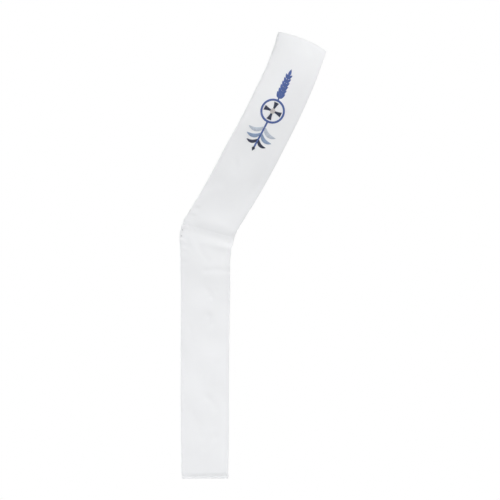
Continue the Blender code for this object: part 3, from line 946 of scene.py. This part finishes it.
def joined(parts):
    """Several (points, quads, caps) meshes, and the UV places and tones, with their painted shade, of
    their points, as one.
    """
    offsets = np.cumsum([0] + [len(points) for (points, _quads, _caps), _uv in parts])
    points = np.concatenate([points for (points, _quads, _caps), _uv in parts])
    faces = [quads + offset for ((_points, quads, _caps), _uv), offset in zip(parts, offsets)]
    faces += [caps + offset for ((_points, _quads, caps), _uv), offset in zip(parts, offsets)]
    return points, faces, np.concatenate([uv for _mesh, uv in parts])


def add_threads(name, parts, finish):
    """One piece of thread from several meshes, fixed to the body."""
    points, faces, places = joined(parts)
    piece = add_mesh(name, to_world(points), faces, places[:, :2] * MM, finish, places[:, 2])
    return ride(piece)


def running_line(from_place, to_place, pitch, share, stray=0.12):
    """Starts and ends of stitches along a straight line, with a small seeded stray from it."""
    start, end = np.array(from_place, float), np.array(to_place, float)
    count = max(1, int(np.linalg.norm(end - start) / pitch))
    random = np.random.default_rng(count)
    first = np.linspace(0, 1, count, endpoint=False)[:, None]
    wander = random.uniform(-stray, stray, (count, 2))
    starts = start + (end - start) * first + wander
    return starts, starts + (end - start) / count * share + random.uniform(-stray, stray, (count, 2))


def hem_stitches(side, cloth, sewing):
    """A row of machine stitches in the hem's groove, on the outside and on the inside."""
    place = HEM[side] - SIGN[side] * HEM_LINE
    limit = HALF_WIDTH - STITCH_INSET
    starts, ends = running_line((place, -limit), (place, limit), sewing.stitch_length, STITCH_SHARE)
    lift = (CLOTH_THICKNESS - HEM_GROOVE_DEPTH) / 2
    return [
        stitch_row(starts, ends, cloth, face, STITCH_RISE, sewing.thread_radius, lift)
        for face in (1, -1)
    ]


def slip_stitches(side, cloth, sewing):
    """Slanted slip stitches that hold the turnings down on the inside of both long edges."""
    hip, hem = abs(HIP[side]), abs(HEM[side])
    runs = (
        (SLIP_AFTER_CREST, hip - SLIP_BEFORE_HIP),
        (hip + SLIP_AFTER_HIP, hem - SLIP_BEFORE_HEM),
    )
    lift = CLOTH_THICKNESS / 2
    rows = []
    for edge in (-1, 1):
        across = edge * (HALF_WIDTH - TURNING_WIDTH)
        for run in runs:
            first, last = ((SIGN[side] * along, across) for along in run)
            starts, ends = running_line(first, last, sewing.slip_pitch, SLIP_SHARE, stray=0.2)
            ends[:, 1] += edge * SLIP_SLANT
            rows.append(stitch_row(starts, ends, cloth, -1, SLIP_RISE, sewing.thread_radius, lift, steps=5))
    return rows


def tape_stitches(side, cloth, sewing):
    """A box of stitches through an end of the tape, with one line from corner to corner, on the tape's
    own face."""
    middle = abs(HIP[side]) + LINK_DROP
    reach = LINK_WIDTH / 2 - BOX_INSET
    top, bottom = SIGN[side] * (middle - reach), SIGN[side] * (middle + reach)
    inner, outer = LINK_ACROSS[0] - BOX_PAST, LINK_ACROSS[3] + BOX_SHORT
    corners = [(top, inner), (bottom, inner), (bottom, outer), (top, outer)]
    lines = [*zip(corners, corners[1:] + corners[:1]), (corners[0], corners[2])]
    pitch = sewing.stitch_length * BOX_PITCH_SHARE
    lift = CLOTH_THICKNESS / 2 + LINK_SEAT_GAP + LINK_THICKNESS
    rows = []
    for start, end in lines:
        starts, ends = running_line(start, end, pitch, STITCH_SHARE, stray=0.08)
        rows.append(stitch_row(starts, ends, cloth, -1, STITCH_RISE, sewing.thread_radius, lift, steps=5))
    return rows


def tack_stitches(side, cloth, sewing):
    """Five bars of thread over each tack's dimple, laid side by side, a little shorter at the outside,
    and crossed near their far ends."""
    k = np.arange(-2, 3)[:, None]
    lift = (CLOTH_THICKNESS + TURNING_STEP) / 2
    rows = []
    for past_hip, across, radius, _depth in TACKS:
        place = SIGN[side] * (abs(HIP[side]) + past_hip)
        near = across - radius * (TACK_REACH - TACK_SOONER_NEAR * k**2)
        far = across + radius * (TACK_REACH - TACK_SOONER_FAR * k**2)
        starts = np.concatenate([place + k * TACK_STEP, near], axis=1)
        ends = np.concatenate([place - k * TACK_CROSSED_STEP, far], axis=1)
        rows.append(stitch_row(starts, ends, cloth, 1, TACK_RISE, sewing.tack_radius, lift, taut=TACK_TAUT))
    return rows


# The embroidery lies on the front band, in millimetres from its own middle: down the band, and across it
MOTIF_ALONG = 252.0
MOTIF_ACROSS = -3.0

# Satin stitch: half width at which its padding is full, how far its underside lies in the cloth and its
# top clears it, the darkest of its threads' own tones, the least half width of a leaf or grain, the rows
# of points to a thread and the fewest rows
FULL_PADDING = 1.6
SATIN_SUNK = 0.1
SATIN_CLEAR = 0.05
DARKEST_THREAD = 0.72
BLUNT_TIP = 0.25
ROWS_TO_A_THREAD = 4
FEWEST_ROWS = 8

# Wheat ear above the ring: its grains in pairs, each pair a step further up the stem and smaller by a
# share
EAR_BASE = -38.0
EAR_PAIRS = 6
EAR_STEP = 11.5
EAR_STEM_WIDTH = 4.2
GRAIN_LENGTH = 19.0
GRAIN_WIDTH = 8.6
GRAIN_LEAN = 34.0
GRAIN_ASIDE = 0.8
GRAIN_SHRINK = 0.045

# Distances down: from the lowest pair to the stem's foot, from the tip's place to the stem's top and to
# the tip grain's root, and how much shorter that grain is, with its width's share
EAR_FOOT = 7.0
EAR_STEM_SHORT = 4.0
TIP_ROOT = 5.5
TIP_SHORT = 3.0
TIP_WIDTH_SHARE = 0.9

RING_RADIUS = 30.0
RING_WIDTH = 5.6
RING_OVERLAP = 0.4
CROSS_ARM = 24.0
CROSS_NECK = 5.4
CROSS_FLARE = 14.0
CROSS_ROOT_SHARE = 0.86
DISC_RADIUS = 7.2

# Leaves below the ring, in pairs: place on the stem, reach down the band, reach across, width, thread
LEAVES = (
    (45.0, 22.0, 40.0, 10.5, "pale"),
    (64.0, 20.0, 36.0, 10.0, "steel"),
    (82.0, 17.0, 28.0, 8.6, "navy"),
)

# A leaf's root lies this far aside. Its curve's control point and its tip lie at these shares of its
# reaches.
LEAF_ASIDE = 1.5
CONTROL_DOWN = 1.15
CONTROL_ASIDE = 0.35
TIP_DOWN = 0.72

STEM_END = 104.0
STEM_WIDTH = 5.0
LOZENGE_LENGTH = 15.0
LOZENGE_WIDTH = 9.0


def line(start, end, count):
    """Evenly spaced points of a straight spine: a mix of its two ends."""
    t = np.linspace(0, 1, count)[:, None]
    return np.array(start, float) * (1 - t) + np.array(end, float) * t


def arc(centre, radius, first, last, count):
    """Points of a circle between two angles in degrees, 0 towards the right edge and 90 down the band, by
    the angle's sine and cosine."""
    angle = np.radians(np.linspace(first, last, count))
    return np.array(centre) + radius * np.stack([np.sin(angle), np.cos(angle)], axis=1)


def leaf_width(t, widest=0.45):
    """Half width share of a leaf or grain: half a sine's wave to the power 0.8, 0 at both ends and
    stretched so that 1 lies at its widest place."""
    bent = np.where(t < widest, t / widest * 0.5, 0.5 + (t - widest) / (1 - widest) * 0.5)
    return np.sin(np.pi * bent) ** 0.8


def even(width):
    """Half of the same width all along a spine."""
    return lambda t: np.full(t.shape, width / 2)


def satin(spine, half_width, cloth, threads, slant=0.0, columns=9, padding=1.0):
    """Satin stitch: threads laid side by side along a spine. A place is the spine plus its sideways
    direction times the half width, slanted along it. The height is a padded half ellipse across the
    shape, and a half sine's ridge for each thread. The underside lies in the cloth, so the form is
    closed. A point's tone is 0.3 plus 0.7 of the ridge to the power 0.8, times its thread's own seeded
    tone: the ridge's share is painted shade, darker in the dips between threads and lighter on their
    crests. The underside's two edges take the places and tones of the top's."""
    steps = np.linalg.norm(np.diff(spine, axis=0), axis=1)
    length = np.concatenate([[0.0], np.cumsum(steps)])
    count = max(FEWEST_ROWS, int(length[-1] / threads.satin_pitch) * ROWS_TO_A_THREAD + 1)
    wanted = np.linspace(0, length[-1], count)
    spine = np.stack([np.interp(wanted, length, spine[:, k]) for k in range(2)], axis=1)
    half = half_width(wanted / length[-1])
    ahead = unit(np.gradient(spine, axis=0))
    sideways = np.stack([-ahead[:, 1], ahead[:, 0]], axis=1)
    share = np.sin(np.linspace(-np.pi / 2, np.pi / 2, columns))
    reach = half[:, None] * share[None, :]
    flat = spine[:, None] + sideways[:, None] * reach[..., None]
    flat = flat + ahead[:, None] * (slant * reach)[..., None]
    ridge = np.abs(np.sin(np.pi * wanted / threads.satin_pitch))[:, None]
    pad = np.sqrt(np.maximum(0.0, 1 - share**2))[None, :]
    plump = np.minimum(1.0, half[:, None] / FULL_PADDING)
    height = pad * (threads.satin_lift * padding * plump + threads.thread_ridge * ridge) + SATIN_CLEAR
    along = MOTIF_ALONG + flat[..., 0]
    across = MOTIF_ACROSS + flat[..., 1]
    points, normals = surface(along, across, cloth)
    top = points + normals * (CLOTH_THICKNESS / 2 + height)[..., None]
    under = points[:, ::-1] - normals[:, ::-1] * SATIN_SUNK
    loops = np.concatenate([top, under[:, :: columns - 1]], axis=1)
    size = loops.shape[1]
    index = np.arange(count * size).reshape(count, size)
    caps = np.stack([index[0], index[-1, ::-1]])
    tones = np.random.default_rng(count).uniform(DARKEST_THREAD, 1.0, count)
    own = tones[(wanted / threads.satin_pitch).astype(int)]
    # Painted shade between threads: darker in the dips and lighter on the crests, times each thread's own
    # seeded tone
    tone = np.broadcast_to(own[:, None] * (0.3 + 0.7 * ridge**0.8), along.shape)
    places = np.stack([across, along, tone], axis=-1)
    places = np.concatenate([places, places[:, :: -(columns - 1)]], axis=1).reshape(-1, 3)
    return (loops.reshape(-1, 3), loop_quads(index), caps), places


def grain(root, tip, width, cloth, threads, side=0):
    """One grain on a straight spine, widest nearer its root, its threads slanted away from the stem."""
    return satin(
        line(root, tip, 30),
        lambda t: BLUNT_TIP + width / 2 * leaf_width(t, 0.4),
        cloth, threads, slant=0.4 * side,
    )


def leaf(root, control, tip, width, cloth, threads, side):
    """One leaf on a parabola's spine."""
    points = (np.array(point, float) for point in (root, control, tip))
    spine = parabola(*points, np.linspace(0, 1, 60)[:, None])
    return satin(spine, lambda t: BLUNT_TIP + width / 2 * leaf_width(t), cloth, threads, slant=0.35 * side)


def stem(start, end, width, cloth, threads):
    """A straight stem of one width, its threads steeply slanted."""
    return satin(line(start, end, 40), even(width), cloth, threads, slant=0.6)


def disc(radius, cloth, threads):
    """A round plump disc at the emblem's middle: its half width is a circle's, and never quite 0."""
    return satin(
        line((-radius, 0.0), (radius, 0.0), 40),
        lambda t: radius * np.sqrt(np.maximum(0.01, 1 - (2 * t - 1) ** 2)),
        cloth, threads, columns=13, padding=1.7,
    )


def lozenge(first, last, width, cloth, threads):
    """A diamond: its half width rises and falls by straight slopes from blunt ends."""
    spine = line((first, 0.0), (last, 0.0), 30)
    return satin(spine, lambda t: 0.2 + width / 2 * (1 - np.abs(2 * t - 1)), cloth, threads)


def ring(radius, width, cloth, threads):
    """Four quarter arcs that overlap a little, so that the circle's satin lies square to it all round."""
    quarters = [
        arc((0.0, 0.0), radius, first - RING_OVERLAP, first + 90 + RING_OVERLAP, 90)
        for first in (0, 90, 180, 270)
    ]
    return [satin(quarter, even(width), cloth, threads, slant=0.15, columns=7) for quarter in quarters]


def wheat_parts(cloth, threads):
    """The stem and the paired grains, each pair leaning out by the same angle, and one grain at the
    tip."""
    tip = EAR_BASE - EAR_STEP * EAR_PAIRS
    parts = [stem((EAR_BASE + EAR_FOOT, 0.0), (tip + EAR_STEM_SHORT, 0.0), EAR_STEM_WIDTH, cloth, threads)]
    lean = math.radians(GRAIN_LEAN)
    for k in range(EAR_PAIRS):
        place = EAR_BASE - EAR_STEP * k
        size = 1.0 - GRAIN_SHRINK * k
        up = GRAIN_LENGTH * size * math.cos(lean)
        out = GRAIN_LENGTH * size * math.sin(lean)
        for side in (-1, 1):
            root = (place, side * GRAIN_ASIDE)
            end = (place - up, side * (GRAIN_ASIDE + out))
            parts.append(grain(root, end, GRAIN_WIDTH * size, cloth, threads, side))
    root = (tip + TIP_ROOT, 0.0)
    end = (tip - GRAIN_LENGTH + TIP_SHORT, 0.0)
    parts.append(grain(root, end, GRAIN_WIDTH * TIP_WIDTH_SHARE, cloth, threads))
    return parts


def cross_parts(cloth, threads):
    """Four arms along and across the band. Each arm's width runs from its neck's to its end's by the
    power 1.6 of the way out."""
    root = DISC_RADIUS * CROSS_ROOT_SHARE
    parts = []
    for along, across in ((1, 0), (-1, 0), (0, 1), (0, -1)):
        spine = line((along * root, across * root), (along * CROSS_ARM, across * CROSS_ARM), 50)
        parts.append(satin(
            spine, lambda t: (CROSS_NECK + (CROSS_FLARE - CROSS_NECK) * t**1.6) / 2, cloth, threads
        ))
    return parts


def leaf_parts(thread, cloth, threads):
    """Both leaves of each pair that has this thread. Each bends out from the stem in a parabola."""
    parts = []
    for place, down, aside, width, wanted in LEAVES:
        if wanted != thread:
            continue
        for side in (-1, 1):
            root = (place, side * LEAF_ASIDE)
            control = (place + down * CONTROL_DOWN, side * aside * CONTROL_ASIDE)
            tip = (place + down * TIP_DOWN, side * aside)
            parts.append(leaf(root, control, tip, width, cloth, threads, side))
    return parts


def tint(name, description, default):
    """A colour setting."""
    return bpy.props.FloatVectorProperty(
        name=name, description=description, default=default, size=3, min=0.0, max=1.0, subtype="COLOR"
    )


def amount(name, description, default, low, high):
    """A plain number setting between two limits."""
    return bpy.props.FloatProperty(name=name, description=description, default=default, min=low, max=high)


def length(name, description, default, low, high):
    """A length setting in metres between two limits."""
    return bpy.props.FloatProperty(
        name=name, description=description, default=default, min=low, max=high, unit="LENGTH", precision=5
    )


class StoleClothSettings(bpy.types.PropertyGroup):
    """Colour, weave and unevenness of the band's cloth"""

    colour: tint("Cloth", "Colour of the cloth", (0.862, 0.868, 0.877))
    shade_colour: tint("Cloth in shade", "Colour of the cloth's duller yarns", (0.818, 0.824, 0.833))
    # Painted shade: the darker colour that the cloth takes along both long edges, over the turnings
    edge_shade_colour: tint("Turned edges", "Colour of the cloth over its turnings", (0.812, 0.818, 0.828))
    roughness: amount("Roughness", "Roughness of the cloth", 0.62, 0.0, 1.0)
    sheen: amount("Sheen", "Weight of the cloth's sheen", 0.18, 0.0, 1.0)
    weave_pitch: length("Weave pitch", "Distance between yarns", 0.0008, 0.0002, 0.003)
    weave_strength: amount("Weave strength", "Strength of the weave's bump", 0.45, 0.0, 1.0)
    crumple_strength: amount("Crumple strength", "Strength of the cloth's fine unevenness", 0.06, 0.0, 1.0)
    crease_strength: amount("Crease strength", "Share of each crease's depth", 1.0, 0.0, 3.0)
    swell_height: amount("Swell", "Share of the cloth's slow unevenness", 2.2, 0.0, 5.0)
    pucker_height: amount("Pucker", "Height of the ripples along seams, in millimetres", 0.26, 0.0, 1.0)


class StoleSewingSettings(bpy.types.PropertyGroup):
    """Thread and stitches, in millimetres"""

    colour: tint("Thread", "Colour of the sewing thread", (0.66, 0.67, 0.69))
    tack_colour: tint("Tack thread", "Colour of the tacks at the hip", (0.36, 0.36, 0.37))
    thread_radius: amount("Thread radius", "Radius of the sewing thread", 0.22, 0.05, 1.0)
    tack_radius: amount("Tack thread radius", "Radius of the thick tack thread", 0.42, 0.05, 1.0)
    stitch_length: amount("Stitch", "Distance between machine stitches", 3.2, 1.0, 10.0)
    slip_pitch: amount("Slip stitch", "Distance between slip stitches", 7.5, 2.0, 20.0)


class StoleEmbroiderySettings(bpy.types.PropertyGroup):
    """Threads and relief of the embroidery"""

    royal_colour: tint("Royal thread", "Wheat ear, ring and stem", (0.075, 0.13, 0.37))
    navy_colour: tint("Navy thread", "Cross and lowest leaves", (0.028, 0.036, 0.075))
    beige_colour: tint("Beige thread", "Disc at the middle", (0.62, 0.585, 0.565))
    pale_colour: tint("Pale thread", "Upper leaves", (0.55, 0.60, 0.68))
    steel_colour: tint("Steel thread", "Middle leaves", (0.27, 0.36, 0.52))
    satin_pitch: amount("Thread pitch", "Distance between threads, in millimetres", 0.9, 0.3, 2.0)
    satin_lift: amount("Padding", "Height of the padded stitch, in millimetres", 1.15, 0.1, 3.0)
    thread_ridge: amount("Thread ridge", "Height of each thread, in millimetres", 0.26, 0.0, 0.5)


class StoleStageSettings(bpy.types.PropertyGroup):
    """Floor and light"""

    floor_drop: length("Floor drop", "How far the floor lies below the shoulder's crest", 1.45, 1.2, 3.0)
    floor_radius: length("Floor radius", "Radius of the floor", 1.6, 0.5, 20.0)
    floor_colour: tint("Floor", "Colour of the floor", (0.7, 0.7, 0.71))
    world_light: amount("World light", "Strength of the light from all round", 0.428, 0.0, 5.0)
    backdrop: amount("Backdrop", "Brightness of the empty surroundings", 1.0, 0.0, 5.0)
    key_power: amount("Key", "Watts of the main light, from high on the left", 24.0, 0.0, 2000.0)
    low_fill_power: amount("Low fill", "Watts of the light near the floor", 10.8, 0.0, 500.0)
    narrow_power: amount("Narrow light", "Watts of the narrow light on the hanging end", 1.5, 0.0, 500.0)
    chest_power: amount("Chest light", "Watts of the narrow light on the crest", 0.014, 0.0, 500.0)
    side_power: amount("Side light", "Watts of the light from the right", 84.0, 0.0, 500.0)
    back_power: amount("Back light", "Watts of the high light behind", 46.0, 0.0, 2000.0)
    back_fill_power: amount("Back fill", "Watts of the low light behind", 68.0, 0.0, 2000.0)


class STOLE_OT_panels(bpy.types.Operator):
    """Build the four cloth panels of the band"""

    bl_idname = "stole.panels"
    bl_label = "Cloth Panels"

    def execute(self, context):
        cloth = context.scene.stole_cloth
        finish = cloth_finish(cloth)
        for name in ("front_upper", "front_lower", "back_upper", "back_lower"):
            add_panel(name, cloth, finish)
        return {"FINISHED"}


class STOLE_OT_link(bpy.types.Operator):
    """Build the tape that links the bands at the hip"""

    bl_idname = "stole.link"
    bl_label = "Side Link"

    def execute(self, context):
        cloth = context.scene.stole_cloth
        add_tape(cloth, tape_finish(cloth))
        return {"FINISHED"}


class STOLE_OT_sewing(bpy.types.Operator):
    """Build the hem, slip, tape and tack stitches"""

    bl_idname = "stole.sewing"
    bl_label = "Sewing"

    def execute(self, context):
        cloth = context.scene.stole_cloth
        sewing = context.scene.stole_sewing
        thread = thread_finish("sewing_thread", sewing.colour)
        tack = thread_finish("tack_thread", sewing.tack_colour)
        kinds = (
            ("_hem_stitches", hem_stitches, thread),
            ("_slip_stitches", slip_stitches, thread),
            ("_tape_stitches", tape_stitches, thread),
            ("_tack_stitches", tack_stitches, tack),
        )
        for side in SIGN:
            for name, stitches, finish in kinds:
                add_threads(side + name, stitches(side, cloth, sewing), finish)
        return {"FINISHED"}


class STOLE_OT_embroidery(bpy.types.Operator):
    """Build the satin stitch embroidery of the front band"""

    bl_idname = "stole.embroidery"
    bl_label = "Embroidery"

    def execute(self, context):
        cloth = context.scene.stole_cloth
        threads = context.scene.stole_embroidery
        royal = wheat_parts(cloth, threads) + ring(RING_RADIUS, RING_WIDTH, cloth, threads)
        royal.append(stem((RING_RADIUS + 1.0, 0.0), (STEM_END, 0.0), STEM_WIDTH, cloth, threads))
        navy = cross_parts(cloth, threads) + leaf_parts("navy", cloth, threads)
        first = STEM_END + 5.0 - LOZENGE_LENGTH / 2
        navy.append(lozenge(first, first + LOZENGE_LENGTH, LOZENGE_WIDTH, cloth, threads))
        groups = (
            ("wheat_ring_and_stem", royal, "royal"),
            ("cross_and_low_leaves", navy, "navy"),
            ("middle_disc", [disc(DISC_RADIUS, cloth, threads)], "beige"),
            ("pale_leaves", leaf_parts("pale", cloth, threads), "pale"),
            ("steel_leaves", leaf_parts("steel", cloth, threads), "steel"),
        )
        for name, parts, thread in groups:
            finish = thread_finish(thread + "_thread", getattr(threads, thread + "_colour"))
            add_threads(name, parts, finish)
        return {"FINISHED"}


def add_area_light(name, place, target, side, spread, power):
    """A square soft light, turned so that it shines at the target."""
    light = bpy.data.lights.new(name, "AREA")
    light.shape = "SQUARE"
    light.size = side
    light.energy = power
    light.spread = math.radians(spread)
    obj = bpy.data.objects.new(name, light)
    obj.location = place
    obj.visible_camera = False
    obj.rotation_euler = (Vector(target) - Vector(place)).to_track_quat("-Z", "Y").to_euler()
    bpy.context.scene.collection.objects.link(obj)


def add_camera():
    """A level camera on a long lens. The picture's middle lies as many pixels from the crest's middle as
    in the photograph, at the crest's scale."""
    camera = bpy.data.cameras.new("picture_camera")
    camera.sensor_width = SENSOR_WIDTH
    camera.lens = SENSOR_WIDTH * CAMERA_DISTANCE / (PICTURE_SIDE * CREST_SCALE)
    camera.clip_end = 60.0
    obj = bpy.data.objects.new("picture_camera", camera)
    middle = PICTURE_SIDE / 2
    x = (middle - CREST_PIXEL[0]) * CREST_SCALE - ORIGIN_SHIFT[0]
    z = (CREST_PIXEL[1] - middle) * CREST_SCALE - ORIGIN_SHIFT[2]
    obj.location = (x * MM, -CAMERA_DISTANCE * MM, z * MM)
    obj.rotation_euler = (math.pi / 2, 0.0, 0.0)
    bpy.context.scene.collection.objects.link(obj)
    bpy.context.scene.camera = obj


def add_floor(stage):
    """A plain round floor: rings of points about its middle, each ring joined to the next."""
    radius = np.linspace(0.02, 1.0, FLOOR_RINGS)[:, None] * stage.floor_radius
    angle = np.linspace(0, 2 * np.pi, FLOOR_SPOKES, endpoint=False)[None, :]
    flat = np.stack([radius * np.cos(angle), radius * np.sin(angle)], axis=-1).reshape(-1, 2)
    points = np.concatenate([flat, np.full((len(flat), 1), -stage.floor_drop)], axis=1)
    index = np.arange(FLOOR_RINGS * FLOOR_SPOKES).reshape(FLOOR_RINGS, FLOOR_SPOKES)
    finish, tree, shader, _uv, place = new_finish(
        "floor_paper", roughness=0.85, sheen=0.0, sheen_roughness=0.5, specular=0.2
    )
    darker = tuple(channel * 0.985 for channel in stage.floor_colour)
    colour = colour_between(tree, noise_node(tree, place, scale=1.5), darker, stage.floor_colour)
    tree.links.new(colour, shader.inputs["Base Color"])
    floor = add_mesh("floor", points, [loop_quads(index), index[:1]], flat, finish)


def add_world(stage):
    """Even white light from all round, and a brighter white where the camera sees nothing else."""
    world = bpy.data.worlds.new("white_studio")
    world.use_nodes = True
    tree = world.node_tree
    light = tree.nodes["Background"]
    light.inputs["Color"].default_value = (0.985, 0.99, 1.0, 1.0)
    light.inputs["Strength"].default_value = stage.world_light
    seen = tree.nodes.new("ShaderNodeBackground")
    seen.inputs["Color"].default_value = (1.0, 1.0, 1.0, 1.0)
    seen.inputs["Strength"].default_value = stage.backdrop
    path = tree.nodes.new("ShaderNodeLightPath")
    mixed = tree.nodes.new("ShaderNodeMixShader")
    tree.links.new(path.outputs["Is Camera Ray"], mixed.inputs[0])
    tree.links.new(light.outputs[0], mixed.inputs[1])
    tree.links.new(seen.outputs[0], mixed.inputs[2])
    tree.links.new(mixed.outputs[0], tree.nodes["World Output"].inputs["Surface"])
    bpy.context.scene.world = world


class STOLE_OT_stage(bpy.types.Operator):
    """Build the camera, the floor and the soft light"""

    bl_idname = "stole.stage"
    bl_label = "Stage"

    def execute(self, context):
        stage = context.scene.stole_stage
        add_camera()
        add_floor(stage)
        add_world(stage)
        for name, place, target, side, spread in LIGHTS:
            add_area_light(name + "_light", place, target, side, spread, getattr(stage, name + "_power"))
        context.scene.view_settings.view_transform = "Standard"
        context.scene.view_settings.look = "None"
        return {"FINISHED"}


OPERATORS = (STOLE_OT_stage, STOLE_OT_panels, STOLE_OT_link, STOLE_OT_sewing, STOLE_OT_embroidery)
SETTINGS = {
    "stole_cloth": StoleClothSettings,
    "stole_sewing": StoleSewingSettings,
    "stole_embroidery": StoleEmbroiderySettings,
    "stole_stage": StoleStageSettings,
}


class STOLE_PT_sidebar(bpy.types.Panel):
    """Sizes, colours and steps of the stole"""

    bl_idname = "STOLE_PT_sidebar"
    bl_label = "Stole"
    bl_space_type = "VIEW_3D"
    bl_region_type = "UI"
    bl_category = "Stole"

    def draw(self, context):
        for name in SETTINGS:
            settings = getattr(context.scene, name)
            box = self.layout.box()
            for key in settings.bl_rna.properties.keys():
                if key not in ("rna_type", "name"):
                    box.prop(settings, key)
        for operator in OPERATORS:
            self.layout.operator(operator.bl_idname)


def register():
    """Register the settings, the steps and the sidebar."""
    for name, settings in SETTINGS.items():
        bpy.utils.register_class(settings)
        setattr(bpy.types.Scene, name, bpy.props.PointerProperty(type=settings))
    for cls in (*OPERATORS, STOLE_PT_sidebar):
        bpy.utils.register_class(cls)


def unregister():
    """Take all of it out again, last first."""
    for cls in reversed((*OPERATORS, STOLE_PT_sidebar)):
        bpy.utils.unregister_class(cls)
    for name, settings in SETTINGS.items():
        delattr(bpy.types.Scene, name)
        bpy.utils.unregister_class(settings)


def main():
    """Build the stage and every piece through the operators."""
    register()
    bpy.ops.stole.stage()
    bpy.ops.stole.panels()
    bpy.ops.stole.link()
    bpy.ops.stole.sewing()
    bpy.ops.stole.embroidery()


if __name__ == "__main__":
    main()
